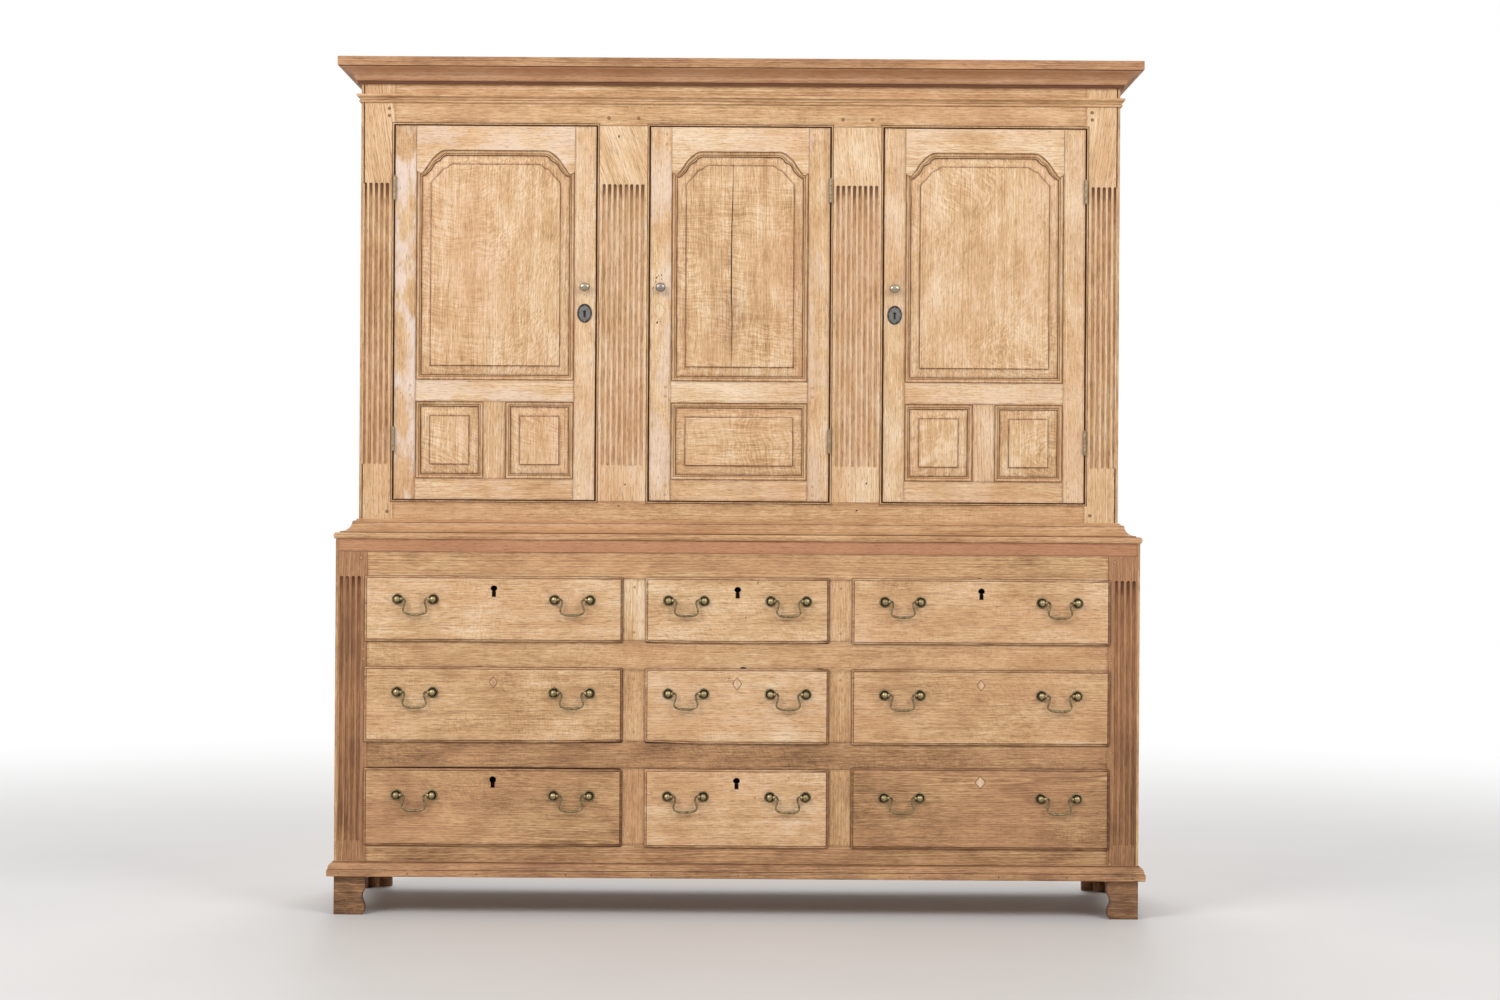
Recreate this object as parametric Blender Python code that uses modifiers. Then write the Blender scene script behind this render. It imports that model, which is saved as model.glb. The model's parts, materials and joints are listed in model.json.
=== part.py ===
"""Housekeepers cupboard in oak: a press with three arched doors, standing on a chest of nine drawers.

X runs to the right along the front, Y runs back into the depth and Z runs up. The origin is the middle
of the footprint at floor level. The case stands closed, with every bail hanging.
"""

import math

import bmesh
import bpy
from mathutils import Matrix, Vector

OBJECT_NAME = "housekeepers_cupboard"

# Driving dimensions, in metres.

# Clearances
GAP = 0.0003
WELD = 0.00001
OVERLAP = 0.001

# Boards that both cases share
SIDE_THICK = 0.020
SIDE_EDGE = 0.006
FRAME_THICK = 0.022
BACK_THICK = 0.012
BACK_COVER = 0.008
BOARD_THICK = 0.018

# Lower case
BASE_WIDTH = 2.000
BASE_DEPTH = 0.545
BOTTOM_RAIL = 0.082
LOWER_RAIL = 0.0685
UPPER_RAIL = 0.074
FRIEZE_RAIL = 0.065
TOP_BAND = 0.031
CORNER_POST = 0.079
MUNTIN = 0.067
MIDDLE_OPENING = 0.446
BOTTOM_ROW = 0.1895
MIDDLE_ROW = 0.176
TOP_ROW = 0.152
GUIDE_HEIGHT = 0.014
KICKER_DROP = 0.006

# Bracket feet: each outline point is its distance from the outer corner and its height
FOOT_HEIGHT = 0.096
FOOT_WIDTH = 0.079
FOOT_THICK = 0.022
FOOT_BLOCK = 0.050
FOOT_SCALLOP = (
    (0.069, 0.000), (0.0745, 0.006), (0.077, 0.014), (0.077, 0.024), (0.073, 0.034),
    (0.070, 0.044), (0.0715, 0.054), (0.077, 0.062),
)
FOOT_SHOULDER = 0.068

# Drawers
LIP_OVERLAP = 0.006
LIP_THICK = 0.007
LIP_SQUARE = 0.003
LIP_MOULD = 0.0075
LIP_STEP = 0.001
DRAWER_PLAY = 0.0012
DRAWER_HEAD = 0.002
DRAWER_FRONT = 0.020
DRAWER_SIDE = 0.010
DRAWER_BACK = 0.010
DRAWER_BOTTOM = 0.009
DRAWER_LENGTH = 0.500

# Swan-neck handles; the heights are those of the posts above the middle of each front
SIDE_HANDLES = 0.390
MIDDLE_HANDLES = 0.254
BOTTOM_HANDLE_RISE = 0.0265
MIDDLE_HANDLE_RISE = 0.0305
TOP_HANDLE_RISE = 0.0235
POST_PITCH = 0.0888
POST_STAND = 0.013
ROSE_RADIUS = 0.014
ROSE_EDGE = 0.0015
ROSE_THICK = 0.0035
NECK_RADIUS = 0.0035
HEAD_RADIUS = 0.006
POST_STEPS = 8
EYE_RADIUS = 0.00265
EYE_PAST = 0.002
BAIL_RADIUS = 0.0023
BAIL_END = 0.0005
BAIL_NECK = ((0.0360, 0.0), (0.0280, 0.0015), (0.0245, -0.0040), (0.0255, -0.0120))
BAIL_SWEEP = ((0.0290, -0.0220), (0.0270, -0.0310), (0.0180, -0.0360), (0.0070, -0.0375))

# Upper case, set back from the front and both sides of the lower one
UPPER_SETBACK = 0.050
PRESS_BOTTOM_RAIL = 0.0985
DOOR_OPENING = 0.9385
PRESS_TOP_RAIL = 0.141
OUTER_PILASTER = 0.0836
CENTRE_PILASTER = 0.1316
MIDDLE_DOOR_OPENING = 0.454
LOWER_SHELF = 0.300
UPPER_SHELF = 0.620
SHELF_THICK = 0.020
SHELF_SETBACK = 0.025
BATTEN_WIDE = 0.018
BATTEN_HIGH = 0.025

# Flutes
FLUTE_WIDTH = 0.009
FLUTE_SHY = 0.001
FLUTE_STEPS = 8
PILASTER_PITCH = 0.0138
OUTER_FLUTES = 5
CENTRE_FLUTES = 8
PILASTER_FLUTE_FOOT = 0.0875
PILASTER_FLUTE_HEAD = 0.145
POST_FLUTE_PITCH = 0.0145
POST_FLUTES = 4
POST_FLUTE_MARGIN = 0.004
OPENING_BEAD = 0.006

# Doors
DOOR_PLAY = 0.0025
DOOR_PLAY_ENDS = 0.0015
DOOR_STILE = 0.053
DOOR_BOTTOM_RAIL = 0.0516
DOOR_MIDDLE_RAIL = 0.0527
DOOR_TOP_RAIL = 0.0605
DOOR_MUNTIN = 0.0536
LOWER_PANEL = 0.1944
PANEL_DEPTH = 0.009
PANEL_MOULD = 0.010
PANEL_MOULD_DEPTH = 0.006
PANEL_MARGIN = 0.002
FIELD_BORDER = 0.037
FIELD_DEPTH = 0.0015
BACK_RECESS = 0.005

# The shouldered arch of the upper panels: an ear beside the stile, a cusp and a shallow double curve
ARCH_EAR = 0.0127
ARCH_EAR_RISE = 0.0105
ARCH_RUN = 0.056
ARCH_RISE = 0.0635
ARCH_CURVE = ((0.23, 0.16), (0.36, 0.41), (0.54, 0.60), (0.75, 0.76))
FIELD_EAR = 0.002
FIELD_EAR_RISE = -0.006
FIELD_RUN = 0.047
FIELD_RISE = 0.053

# Butt hinges, each with the distance of its middle from the nearer end of the door
HINGE_LENGTH = 0.060
HINGE_FROM_FOOT = 0.151
HINGE_FROM_HEAD = 0.1565
KNUCKLE_RADIUS = 0.004
KNUCKLE_PROUD = 0.0045
KNUCKLE_MIDDLE = 0.022
KNUCKLE_GAP = 0.0005
KNUCKLE_STEPS = 12
PIN_RADIUS = 0.0015
PIN_BORE = 0.0018
LEAF_THICK = 0.001
LEAF_SHOWS = 0.0008
LEAF_DEEP = 0.018

# Knobs
KNOB_HEIGHT = 0.533
KNOB_INSET = 0.0265
KNOB_RADIUS = 0.0125
KNOB_STAND = 0.015
KNOB_NECK = 0.005
KNOB_ROSE = 0.0085
KNOB_STEPS = 12

# Mouldings: each profile point is its distance out from the case and its height in the moulding. The nosing
# of the waist is measured from the chest, and the rest of the waist from the press
PLINTH_PROFILE = (
    (0.0160, 0.0005), (0.0165, 0.0160), (0.0140, 0.0250), (0.0080, 0.0330), (0.0015, 0.0380),
)
WAIST_NOSING = ((0.0000, 0.0000), (0.0040, 0.0050), (0.0040, 0.0100), (0.0000, 0.0150))
WAIST_PROFILE = (
    (0.0410, 0.0165), (0.0400, 0.0185), (0.0300, 0.0210), (0.0200, 0.0270), (0.0145, 0.0370),
    (0.0140, 0.0420), (0.0100, 0.0440), (0.0025, 0.0500),
)
ASTRAGAL_DROP = 0.065
ASTRAGAL_PROFILE = (
    (0.0040, 0.0000), (0.0048, 0.0050), (0.0045, 0.0090), (0.0065, 0.0130), (0.0110, 0.0160),
    (0.0110, 0.0210),
)
FASCIA = 0.0225
CORNICE_OUT = 0.053
COVE_OUT = 0.050
COVE_DROP = 0.033
COVE_FOOT = 0.008
COVE_WAVE = 0.003
COVE_STEPS = 7
COVE_FILLET = 0.007

# Places that follow from the sizes

HANDLE_REACH = GAP + LIP_THICK + POST_STAND + HEAD_RADIUS
BASE_FRONT = (HANDLE_REACH - BASE_DEPTH) / 2
BACK = BASE_FRONT + BASE_DEPTH
UPPER_WIDTH = BASE_WIDTH - 2 * UPPER_SETBACK
UPPER_FRONT = BASE_FRONT + UPPER_SETBACK
ROW_FLOORS = {"bottom": FOOT_HEIGHT + BOTTOM_RAIL}
ROW_FLOORS["middle"] = ROW_FLOORS["bottom"] + BOTTOM_ROW + LOWER_RAIL
ROW_FLOORS["top"] = ROW_FLOORS["middle"] + MIDDLE_ROW + UPPER_RAIL
ROW_HEIGHTS = {"bottom": BOTTOM_ROW, "middle": MIDDLE_ROW, "top": TOP_ROW}
HANDLE_RISES = {"bottom": BOTTOM_HANDLE_RISE, "middle": MIDDLE_HANDLE_RISE, "top": TOP_HANDLE_RISE}
BAND_FLOOR = ROW_FLOORS["top"] + TOP_ROW + FRIEZE_RAIL
BASE_TOP = BAND_FLOOR + TOP_BAND
SIDE_OPENING = BASE_WIDTH / 2 - CORNER_POST - MUNTIN - MIDDLE_OPENING / 2
COLUMN_CENTRES = {
    "left": -(MIDDLE_OPENING + SIDE_OPENING) / 2 - MUNTIN,
    "middle": 0.0,
    "right": (MIDDLE_OPENING + SIDE_OPENING) / 2 + MUNTIN,
}
COLUMN_WIDTHS = {"left": SIDE_OPENING, "middle": MIDDLE_OPENING, "right": SIDE_OPENING}
DOOR_FLOOR = BASE_TOP + PRESS_BOTTOM_RAIL
PRESS_TOP = DOOR_FLOOR + DOOR_OPENING + PRESS_TOP_RAIL
SIDE_DOOR_OPENING = UPPER_WIDTH / 2 - OUTER_PILASTER - CENTRE_PILASTER - MIDDLE_DOOR_OPENING / 2
DOOR_CENTRES = {
    "left": -(MIDDLE_DOOR_OPENING + SIDE_DOOR_OPENING) / 2 - CENTRE_PILASTER,
    "middle": 0.0,
    "right": (MIDDLE_DOOR_OPENING + SIDE_DOOR_OPENING) / 2 + CENTRE_PILASTER,
}
DOOR_WIDTHS = {"left": SIDE_DOOR_OPENING, "middle": MIDDLE_DOOR_OPENING, "right": SIDE_DOOR_OPENING}
HINGE_SIDES = {"left": -1, "middle": 1, "right": 1}
HINGE_HEIGHTS = {
    "lower": DOOR_FLOOR + DOOR_PLAY_ENDS + HINGE_FROM_FOOT,
    "upper": DOOR_FLOOR + DOOR_OPENING - DOOR_PLAY_ENDS - HINGE_FROM_HEAD,
}

# Colours, roughness and metallic value of each finish
FINISHES = {
    "pale_oak": ((0.56, 0.36, 0.19), 0.55, 0.0),
    "brown_oak": ((0.40, 0.23, 0.12), 0.58, 0.0),
    "inner_oak": ((0.42, 0.27, 0.15), 0.75, 0.0),
    "brass": ((0.36, 0.32, 0.22), 0.35, 1.0),
    "iron": ((0.22, 0.17, 0.12), 0.50, 1.0),
}


for old in list(bpy.data.objects):
    bpy.data.objects.remove(old, do_unlink=True)

PARTS = bpy.data.collections.new(OBJECT_NAME)
CUTTERS = bpy.data.collections.new("cutters")
bpy.context.scene.collection.children.link(PARTS)
bpy.context.scene.collection.children.link(CUTTERS)


# Shapes, as meshes in world coordinates


def box(low, high):
    """A box from its lowest to its highest corner."""
    bm = bmesh.new()
    bmesh.ops.create_cube(bm, size=1.0)
    bmesh.ops.scale(bm, vec=Vector(high) - Vector(low), verts=bm.verts)
    bmesh.ops.translate(bm, vec=(Vector(low) + Vector(high)) / 2, verts=bm.verts)
    return finished(bm)


def cylinder(radius, start, end, steps):
    """A rod with flat ends between two points."""
    along = Vector(end) - Vector(start)
    turn = along.to_track_quat("Z", "Y").to_matrix().to_4x4()
    place = Matrix.Translation((Vector(start) + Vector(end)) / 2) @ turn
    bm = bmesh.new()
    bmesh.ops.create_cone(
        bm, cap_ends=True, segments=steps, radius1=radius, radius2=radius, depth=along.length, matrix=place
    )
    return finished(bm)


def loft(rings):
    """A closed solid through rings of equally many points, with a flat face on the first and the last."""
    bm = bmesh.new()
    layers = [[bm.verts.new(point) for point in ring] for ring in rings]
    for near, far in zip(layers, layers[1:]):
        for i in range(len(near)):
            bm.faces.new((near[i - 1], near[i], far[i], far[i - 1]))
    bm.faces.new(layers[0])
    bm.faces.new(list(reversed(layers[-1])))
    return finished(bm)


def finished(bm):
    """The mesh of a bmesh whose faces are turned outwards."""
    bmesh.ops.recalc_face_normals(bm, faces=bm.faces)
    mesh = bpy.data.meshes.new("shape")
    bm.to_mesh(mesh)
    bm.free()
    return mesh


def baked(maker):
    """The evaluated mesh of a curve or a turned profile, welded; the object that made it is removed."""
    bpy.context.view_layer.update()
    graph = bpy.context.evaluated_depsgraph_get()
    mesh = bpy.data.meshes.new_from_object(maker.evaluated_get(graph))
    mesh.transform(maker.matrix_world)
    bpy.data.objects.remove(maker)
    bm = bmesh.new()
    bm.from_mesh(mesh)
    bmesh.ops.remove_doubles(bm, verts=bm.verts, dist=WELD)
    bpy.data.meshes.remove(mesh)
    return finished(bm)


def prism(outline, plane, low, high):
    """A flat outline in the XY, XZ or YZ plane, carried along the third axis from low to high."""
    turns = {
        "XY": Matrix.Identity(4),
        "XZ": Matrix.Rotation(math.pi / 2, 4, "X"),
        "YZ": Matrix(((0, 0, 1, 0), (1, 0, 0, 0), (0, 1, 0, 0), (0, 0, 0, 1))),
    }
    along = {"XY": Vector((0, 0, 1)), "XZ": Vector((0, 1, 0)), "YZ": Vector((1, 0, 0))}
    curve = bpy.data.curves.new("outline", "CURVE")
    curve.dimensions = "2D"
    curve.fill_mode = "BOTH"
    curve.extrude = (high - low) / 2
    spline = curve.splines.new("POLY")
    spline.points.add(len(outline) - 1)
    for point, (u, v) in zip(spline.points, outline):
        point.co = (u, v, 0, 1)
    spline.use_cyclic_u = True
    maker = add_object("outline", curve, CUTTERS)
    maker.matrix_world = Matrix.Translation(along[plane] * (low + high) / 2) @ turns[plane]
    return baked(maker)


def turned(profile, steps):
    """A solid turned about Z, from (radius, height) points that run from the top down the outside."""
    mesh = bpy.data.meshes.new("profile")
    edges = [(i, i + 1) for i in range(len(profile) - 1)]
    mesh.from_pydata([(radius, 0, height) for radius, height in profile], edges, [])
    maker = add_object("profile", mesh, CUTTERS)
    screw = maker.modifiers.new("Turn", "SCREW")
    screw.steps = steps
    screw.render_steps = steps
    screw.use_merge_vertices = True
    screw.merge_threshold = WELD
    return baked(maker)


def rod(points, radius):
    """A bent rod with filled ends along a list of points."""
    curve = bpy.data.curves.new("rod", "CURVE")
    curve.dimensions = "3D"
    curve.bevel_depth = radius
    curve.bevel_resolution = 1
    curve.use_fill_caps = True
    spline = curve.splines.new("POLY")
    spline.points.add(len(points) - 1)
    for point, place in zip(spline.points, points):
        point.co = (*place, 1)
    return baked(add_object("rod", curve, CUTTERS))


def moved(mesh, *matrices):
    """One mesh that holds a copy of the given one at each matrix."""
    bm = bmesh.new()
    for matrix in matrices:
        copy = mesh.copy()
        copy.transform(matrix)
        bm.from_mesh(copy)
        bpy.data.meshes.remove(copy)
    return finished(bm)


def merged(*meshes):
    """One mesh that holds several shapes which stand clear of each other."""
    bm = bmesh.new()
    for mesh in meshes:
        bm.from_mesh(mesh)
    return finished(bm)


def along_three_sides(profile, half_width, front, back, floor):
    """A moulding that runs forward along the left side, across the front and back along the right side.

    Each profile point is (out, up), and every point keeps its distance out from the case at the mitres.
    """
    def station(x_sign, y_place, mitred):
        return [
            (x_sign * (half_width + out), y_place - (out if mitred else 0), floor + up)
            for out, up in profile
        ]

    stations = [(-1, back, False), (-1, front, True), (1, front, True), (1, back, False)]
    return loft([station(*place) for place in stations])


def inset(outline, distance):
    """An anticlockwise outline with every side moved inwards, or outwards where the distance is negative."""
    points = [Vector(point) for point in outline]
    moved_points = []
    for i, point in enumerate(points):
        before = (point - points[i - 1]).normalized()
        after = (points[(i + 1) % len(points)] - point).normalized()
        first = Vector((-before.y, before.x))
        second = Vector((-after.y, after.x))
        moved_points.append(point + (first + second) * distance / (1 + first.dot(second)))
    return [tuple(point) for point in moved_points]


def rectangle(left, right, bottom, top):
    """An anticlockwise rectangle."""
    return [(left, bottom), (right, bottom), (right, top), (left, top)]


def arched(left, right, bottom, crown, ear, ear_rise, run, rise):
    """An anticlockwise panel outline whose top corners climb from an ear and a cusp to a flat crown."""
    shoulder = [(0.0, crown - rise + ear_rise), (ear, crown - rise)]
    shoulder += [(ear + across * run, crown - rise + up * rise) for across, up in ARCH_CURVE]
    shoulder.append((ear + run, crown))
    climb = [(right - across, up) for across, up in shoulder]
    descent = [(left + across, up) for across, up in reversed(shoulder)]
    return [(left, bottom), (right, bottom)] + climb + descent


# Objects


def add_object(name, data, collection):
    obj = bpy.data.objects.new(name, data)
    collection.objects.link(obj)
    return obj


def add_part(name, mesh, finish, origin=(0.0, 0.0, 0.0)):
    """A named piece with its own material, whose origin is the given point."""
    mesh.transform(Matrix.Translation(-Vector(origin)))
    mesh.materials.append(new_material(name, finish))
    part = add_object(name, mesh, PARTS)
    part.location = origin
    return part


def new_material(name, finish):
    colour, roughness, metallic = FINISHES[finish]
    material = bpy.data.materials.new(f"{name}_{finish}")
    material.use_nodes = True
    shader = material.node_tree.nodes["Principled BSDF"]
    shader.inputs["Base Color"].default_value = (*colour, 1.0)
    shader.inputs["Roughness"].default_value = roughness
    shader.inputs["Metallic"].default_value = metallic
    return material


def combine(part, operation, mesh):
    """Joins a helper shape to a part or cuts it away; the helper follows the part."""
    helper = add_object(f"{part.name}_{operation.lower()}", mesh, CUTTERS)
    mesh.transform(Matrix.Translation(-part.location))
    helper.parent = part
    helper.hide_render = True
    helper.display_type = "WIRE"
    modifier = part.modifiers.new(operation.title(), "BOOLEAN")
    modifier.operation = operation
    modifier.object = helper


def join(part, mesh):
    combine(part, "UNION", mesh)


def cut(part, mesh):
    combine(part, "DIFFERENCE", mesh)


def carry(parent, child):
    """Parents a piece that is already in its place to the piece that carries it."""
    child.parent = parent
    child.location = child.location - parent.location


# Cases


def case_side(name, sign, width, front, bottom, top, finish):
    """A side board, rebated at its front edge for the face frame and at its back edge for the back."""
    outer = width / 2
    inner = outer - SIDE_THICK
    frame_seat = front + FRAME_THICK + GAP
    back_seat = BACK - BACK_THICK - GAP
    plan = [
        (outer, front), (outer, BACK), (outer - BACK_COVER, BACK), (outer - BACK_COVER, back_seat),
        (inner, back_seat), (inner, frame_seat), (outer - SIDE_EDGE, frame_seat), (outer - SIDE_EDGE, front),
    ]
    return add_part(name, prism([(sign * x, y) for x, y in plan], "XY", bottom, top), finish)


def case_board(name, width, front, bottom, top, finish):
    """A board between the sides, from the back of the face frame to the back board."""
    half = width / 2 - SIDE_THICK - GAP
    low = (-half, front + FRAME_THICK + GAP, bottom)
    high = (half, BACK - BACK_THICK - GAP, top)
    return add_part(name, box(low, high), finish)


def case_back(name, width, bottom, top):
    half = width / 2 - BACK_COVER - GAP
    return add_part(name, box((-half, BACK - BACK_THICK, bottom), (half, BACK, top)), "inner_oak")


def flute_row(centre, count, pitch, front, foot, head):
    """Round-ended cutters for a row of flutes, side by side about a centre line."""
    radius = FLUTE_WIDTH / 2 + FLUTE_SHY * math.tan(math.pi / FLUTE_STEPS)
    slant = radius * math.sin(math.pi / 4)
    profile = [
        (0, head), (slant, head - radius + slant), (radius, head - radius), (radius, foot + radius),
        (slant, foot + radius - slant), (0, foot),
    ]
    flute = turned(profile, FLUTE_STEPS)
    first = centre - pitch * (count - 1) / 2
    places = [Matrix.Translation((first + i * pitch, front - FLUTE_SHY, 0)) for i in range(count)]
    return moved(flute, *places)


def frame_opening(centre, width, bottom, top, front):
    """A cutter for one opening in a face frame."""
    low = (centre - width / 2, front - OVERLAP, bottom)
    high = (centre + width / 2, front + FRAME_THICK + OVERLAP, top)
    return box(low, high)


def base_face_frame():
    half = BASE_WIDTH / 2 - SIDE_EDGE - GAP
    slab = box((-half, BASE_FRONT, FOOT_HEIGHT), (half, BASE_FRONT + FRAME_THICK, BAND_FLOOR - GAP))
    frame = add_part("base_face_frame", slab, "brown_oak")
    openings = [
        frame_opening(centre, COLUMN_WIDTHS[column], ROW_FLOORS[row], ROW_FLOORS[row] + height, BASE_FRONT)
        for column, centre in COLUMN_CENTRES.items()
        for row, height in ROW_HEIGHTS.items()
    ]
    post_centre = (BASE_WIDTH - CORNER_POST + LIP_OVERLAP) / 2
    foot = ROW_FLOORS["bottom"] + POST_FLUTE_MARGIN
    head = ROW_FLOORS["top"] + TOP_ROW + POST_FLUTE_MARGIN
    flutes = [
        flute_row(sign * post_centre, POST_FLUTES, POST_FLUTE_PITCH, BASE_FRONT, foot, head)
        for sign in (-1, 1)
    ]
    cut(frame, merged(*openings, *flutes))


def dust_board(name, row):
    """A board that carries a row of drawers, with guides that keep them apart.

    Its section is one outline along X: a flat board with a raised guide at each end and behind each
    muntin, and with kickers below in the same places, which keep the drawers underneath from tipping.
    """
    half = BASE_WIDTH / 2 - SIDE_THICK - GAP
    floor = ROW_FLOORS[row]
    below = {"bottom": None, "middle": "bottom", "top": "middle"}[row]
    stops = [
        (-half, -BASE_WIDTH / 2 + CORNER_POST - DRAWER_PLAY),
        (-MIDDLE_OPENING / 2 - MUNTIN, -MIDDLE_OPENING / 2),
        (MIDDLE_OPENING / 2, MIDDLE_OPENING / 2 + MUNTIN),
        (BASE_WIDTH / 2 - CORNER_POST + DRAWER_PLAY, half),
    ]
    upper = []
    for left, right in stops:
        upper += [(left, floor), (left, floor + GUIDE_HEIGHT), (right, floor + GUIDE_HEIGHT), (right, floor)]
    upper = upper[1:-1]
    underside = floor - BOARD_THICK
    lower = [(half, underside), (-half, underside)]
    if below:
        kicker = ROW_FLOORS[below] + ROW_HEIGHTS[below] - DRAWER_HEAD + KICKER_DROP
        lower = []
        for left, right in reversed(stops):
            lower += [(right, underside), (right, kicker), (left, kicker), (left, underside)]
        lower = lower[1:-1]
    section = prism(upper + lower, "XZ", BASE_FRONT + FRAME_THICK + GAP, BACK - BACK_THICK - GAP)
    add_part(name, section, "inner_oak")


def base_top():
    """The top of the chest, with its front band and the waist moulding that frames the press above it."""
    board_half = BASE_WIDTH / 2 - SIDE_THICK - GAP
    band_half = BASE_WIDTH / 2 - SIDE_EDGE - GAP
    band = box((-band_half, BASE_FRONT, BAND_FLOOR), (band_half, BASE_FRONT + FRAME_THICK, BASE_TOP))
    board = box((-board_half, BASE_FRONT + FRAME_THICK / 2, BASE_TOP - BOARD_THICK),
                (board_half, BACK - BACK_THICK - GAP, BASE_TOP))
    top = add_part("base_top", band, "brown_oak")
    join(top, board)
    press_half = UPPER_WIDTH / 2
    nosing = [(UPPER_SETBACK + out, up) for out, up in WAIST_NOSING]
    profile = [(GAP, 0.0), *nosing, *WAIST_PROFILE, (GAP, WAIST_PROFILE[-1][1])]
    moulding = along_three_sides(profile, press_half, UPPER_FRONT, BACK, BASE_TOP + GAP)
    rib_low = BASE_TOP - BOARD_THICK / 2
    rib_high = BASE_TOP + WAIST_NOSING[1][1]
    rib_back = BACK - BACK_THICK - BOARD_THICK
    front_rib = box((-press_half, BASE_FRONT + FRAME_THICK / 2, rib_low),
                    (press_half, UPPER_FRONT - BACK_COVER, rib_high))
    rib_inner = press_half + BACK_COVER
    side_ribs = [
        box((min(sign * rib_inner, sign * (board_half - OVERLAP)), UPPER_FRONT, rib_low),
            (max(sign * rib_inner, sign * (board_half - OVERLAP)), rib_back, rib_high))
        for sign in (-1, 1)
    ]
    join(top, merged(front_rib, *side_ribs))
    join(top, moulding)


def plinth_moulding():
    profile = [(GAP, PLINTH_PROFILE[0][1]), *PLINTH_PROFILE, (GAP, PLINTH_PROFILE[-1][1])]
    mesh = along_three_sides(profile, BASE_WIDTH / 2, BASE_FRONT, BACK, FOOT_HEIGHT)
    add_part("base_moulding", mesh, "brown_oak")


def foot(name, x_sign, at_front):
    """A bracket foot: two boards that meet at a corner, with a glue block in their angle.

    Both boards of a front foot are scalloped, and a rear foot has a plain board across the back.
    """
    corner_x = x_sign * BASE_WIDTH / 2
    corner_y = BASE_FRONT if at_front else BACK
    into = 1 if at_front else -1
    plan = [
        (0.0, 0.0), (FOOT_WIDTH, 0.0), (FOOT_WIDTH, FOOT_THICK), (FOOT_THICK, FOOT_THICK),
        (FOOT_THICK, FOOT_WIDTH), (0.0, FOOT_WIDTH),
    ]
    top = FOOT_HEIGHT - GAP
    corner = prism([(corner_x - x_sign * out, corner_y + into * deep) for out, deep in plan], "XY", 0.0, top)
    piece = add_part(name, corner, "brown_oak")

    waste = [
        (FOOT_SCALLOP[0][0], -OVERLAP), *FOOT_SCALLOP, (FOOT_WIDTH + OVERLAP, FOOT_SHOULDER),
        (FOOT_WIDTH + OVERLAP, -OVERLAP),
    ]
    side_x = sorted((corner_x + x_sign * OVERLAP, corner_x - x_sign * (FOOT_THICK + OVERLAP)))
    cut(piece, prism([(corner_y + into * deep, up) for deep, up in waste], "YZ", *side_x))
    if at_front:
        face_y = (corner_y - OVERLAP, corner_y + FOOT_THICK + OVERLAP)
        cut(piece, prism([(corner_x - x_sign * out, up) for out, up in waste], "XZ", *face_y))

    block_x = sorted(corner_x - x_sign * out for out in (OVERLAP, FOOT_BLOCK))
    block_y = sorted(corner_y + into * deep for deep in (OVERLAP, FOOT_BLOCK))
    join(piece, box((block_x[0], block_y[0], OVERLAP), (block_x[1], block_y[1], top - OVERLAP)))


def upper_side(name, sign):
    """A side of the press, with a batten under each shelf."""
    side = case_side(name, sign, UPPER_WIDTH, UPPER_FRONT, BASE_TOP + GAP, PRESS_TOP, "pale_oak")
    inner = UPPER_WIDTH / 2 - SIDE_THICK
    battens = []
    for rise in (LOWER_SHELF, UPPER_SHELF):
        x_range = sorted((sign * (inner + OVERLAP), sign * (inner - BATTEN_WIDE)))
        top = DOOR_FLOOR + rise - GAP
        battens.append(
            box((x_range[0], UPPER_FRONT + FRAME_THICK + SHELF_SETBACK, top - BATTEN_HIGH),
                (x_range[1], BACK - BACK_THICK - GAP, top))
        )
    join(side, merged(*battens))


def shelf(name, rise):
    half = UPPER_WIDTH / 2 - SIDE_THICK - GAP
    low = (-half, UPPER_FRONT + FRAME_THICK + SHELF_SETBACK, DOOR_FLOOR + rise)
    high = (half, BACK - BACK_THICK - GAP, DOOR_FLOOR + rise + SHELF_THICK)
    add_part(name, box(low, high), "inner_oak")


def upper_face_frame():
    """Rails and fluted pilasters round the three doors, with the astragal planted on the top rail."""
    half = UPPER_WIDTH / 2 - SIDE_EDGE - GAP
    slab = box((-half, UPPER_FRONT, BASE_TOP + GAP), (half, UPPER_FRONT + FRAME_THICK, PRESS_TOP))
    frame = add_part("upper_face_frame", slab, "pale_oak")
    door_top = DOOR_FLOOR + DOOR_OPENING
    openings = [
        frame_opening(DOOR_CENTRES[place], width, DOOR_FLOOR, door_top, UPPER_FRONT)
        for place, width in DOOR_WIDTHS.items()
    ]
    outer_centre = (UPPER_WIDTH - OUTER_PILASTER + OPENING_BEAD) / 2
    inner_centre = (MIDDLE_DOOR_OPENING + CENTRE_PILASTER) / 2
    rows = [(outer_centre, OUTER_FLUTES), (inner_centre, CENTRE_FLUTES)]
    flutes = [
        flute_row(sign * centre, count, PILASTER_PITCH, UPPER_FRONT, DOOR_FLOOR + PILASTER_FLUTE_FOOT,
                  door_top - PILASTER_FLUTE_HEAD)
        for sign in (-1, 1)
        for centre, count in rows
    ]
    cut(frame, merged(*openings, *flutes))
    height = ASTRAGAL_PROFILE[-1][1]
    floor = PRESS_TOP - ASTRAGAL_DROP - height
    profile = [(GAP, 0.0), *ASTRAGAL_PROFILE, (GAP, height)]
    strip_half = UPPER_WIDTH / 2 - SIDE_THICK
    strip = box((-strip_half, UPPER_FRONT - ASTRAGAL_PROFILE[0][0] / 2, floor + OVERLAP),
                (strip_half, UPPER_FRONT + FRAME_THICK / 2, floor + height - OVERLAP))
    join(frame, strip)
    join(frame, along_three_sides(profile, UPPER_WIDTH / 2, UPPER_FRONT, BACK, floor))


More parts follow.
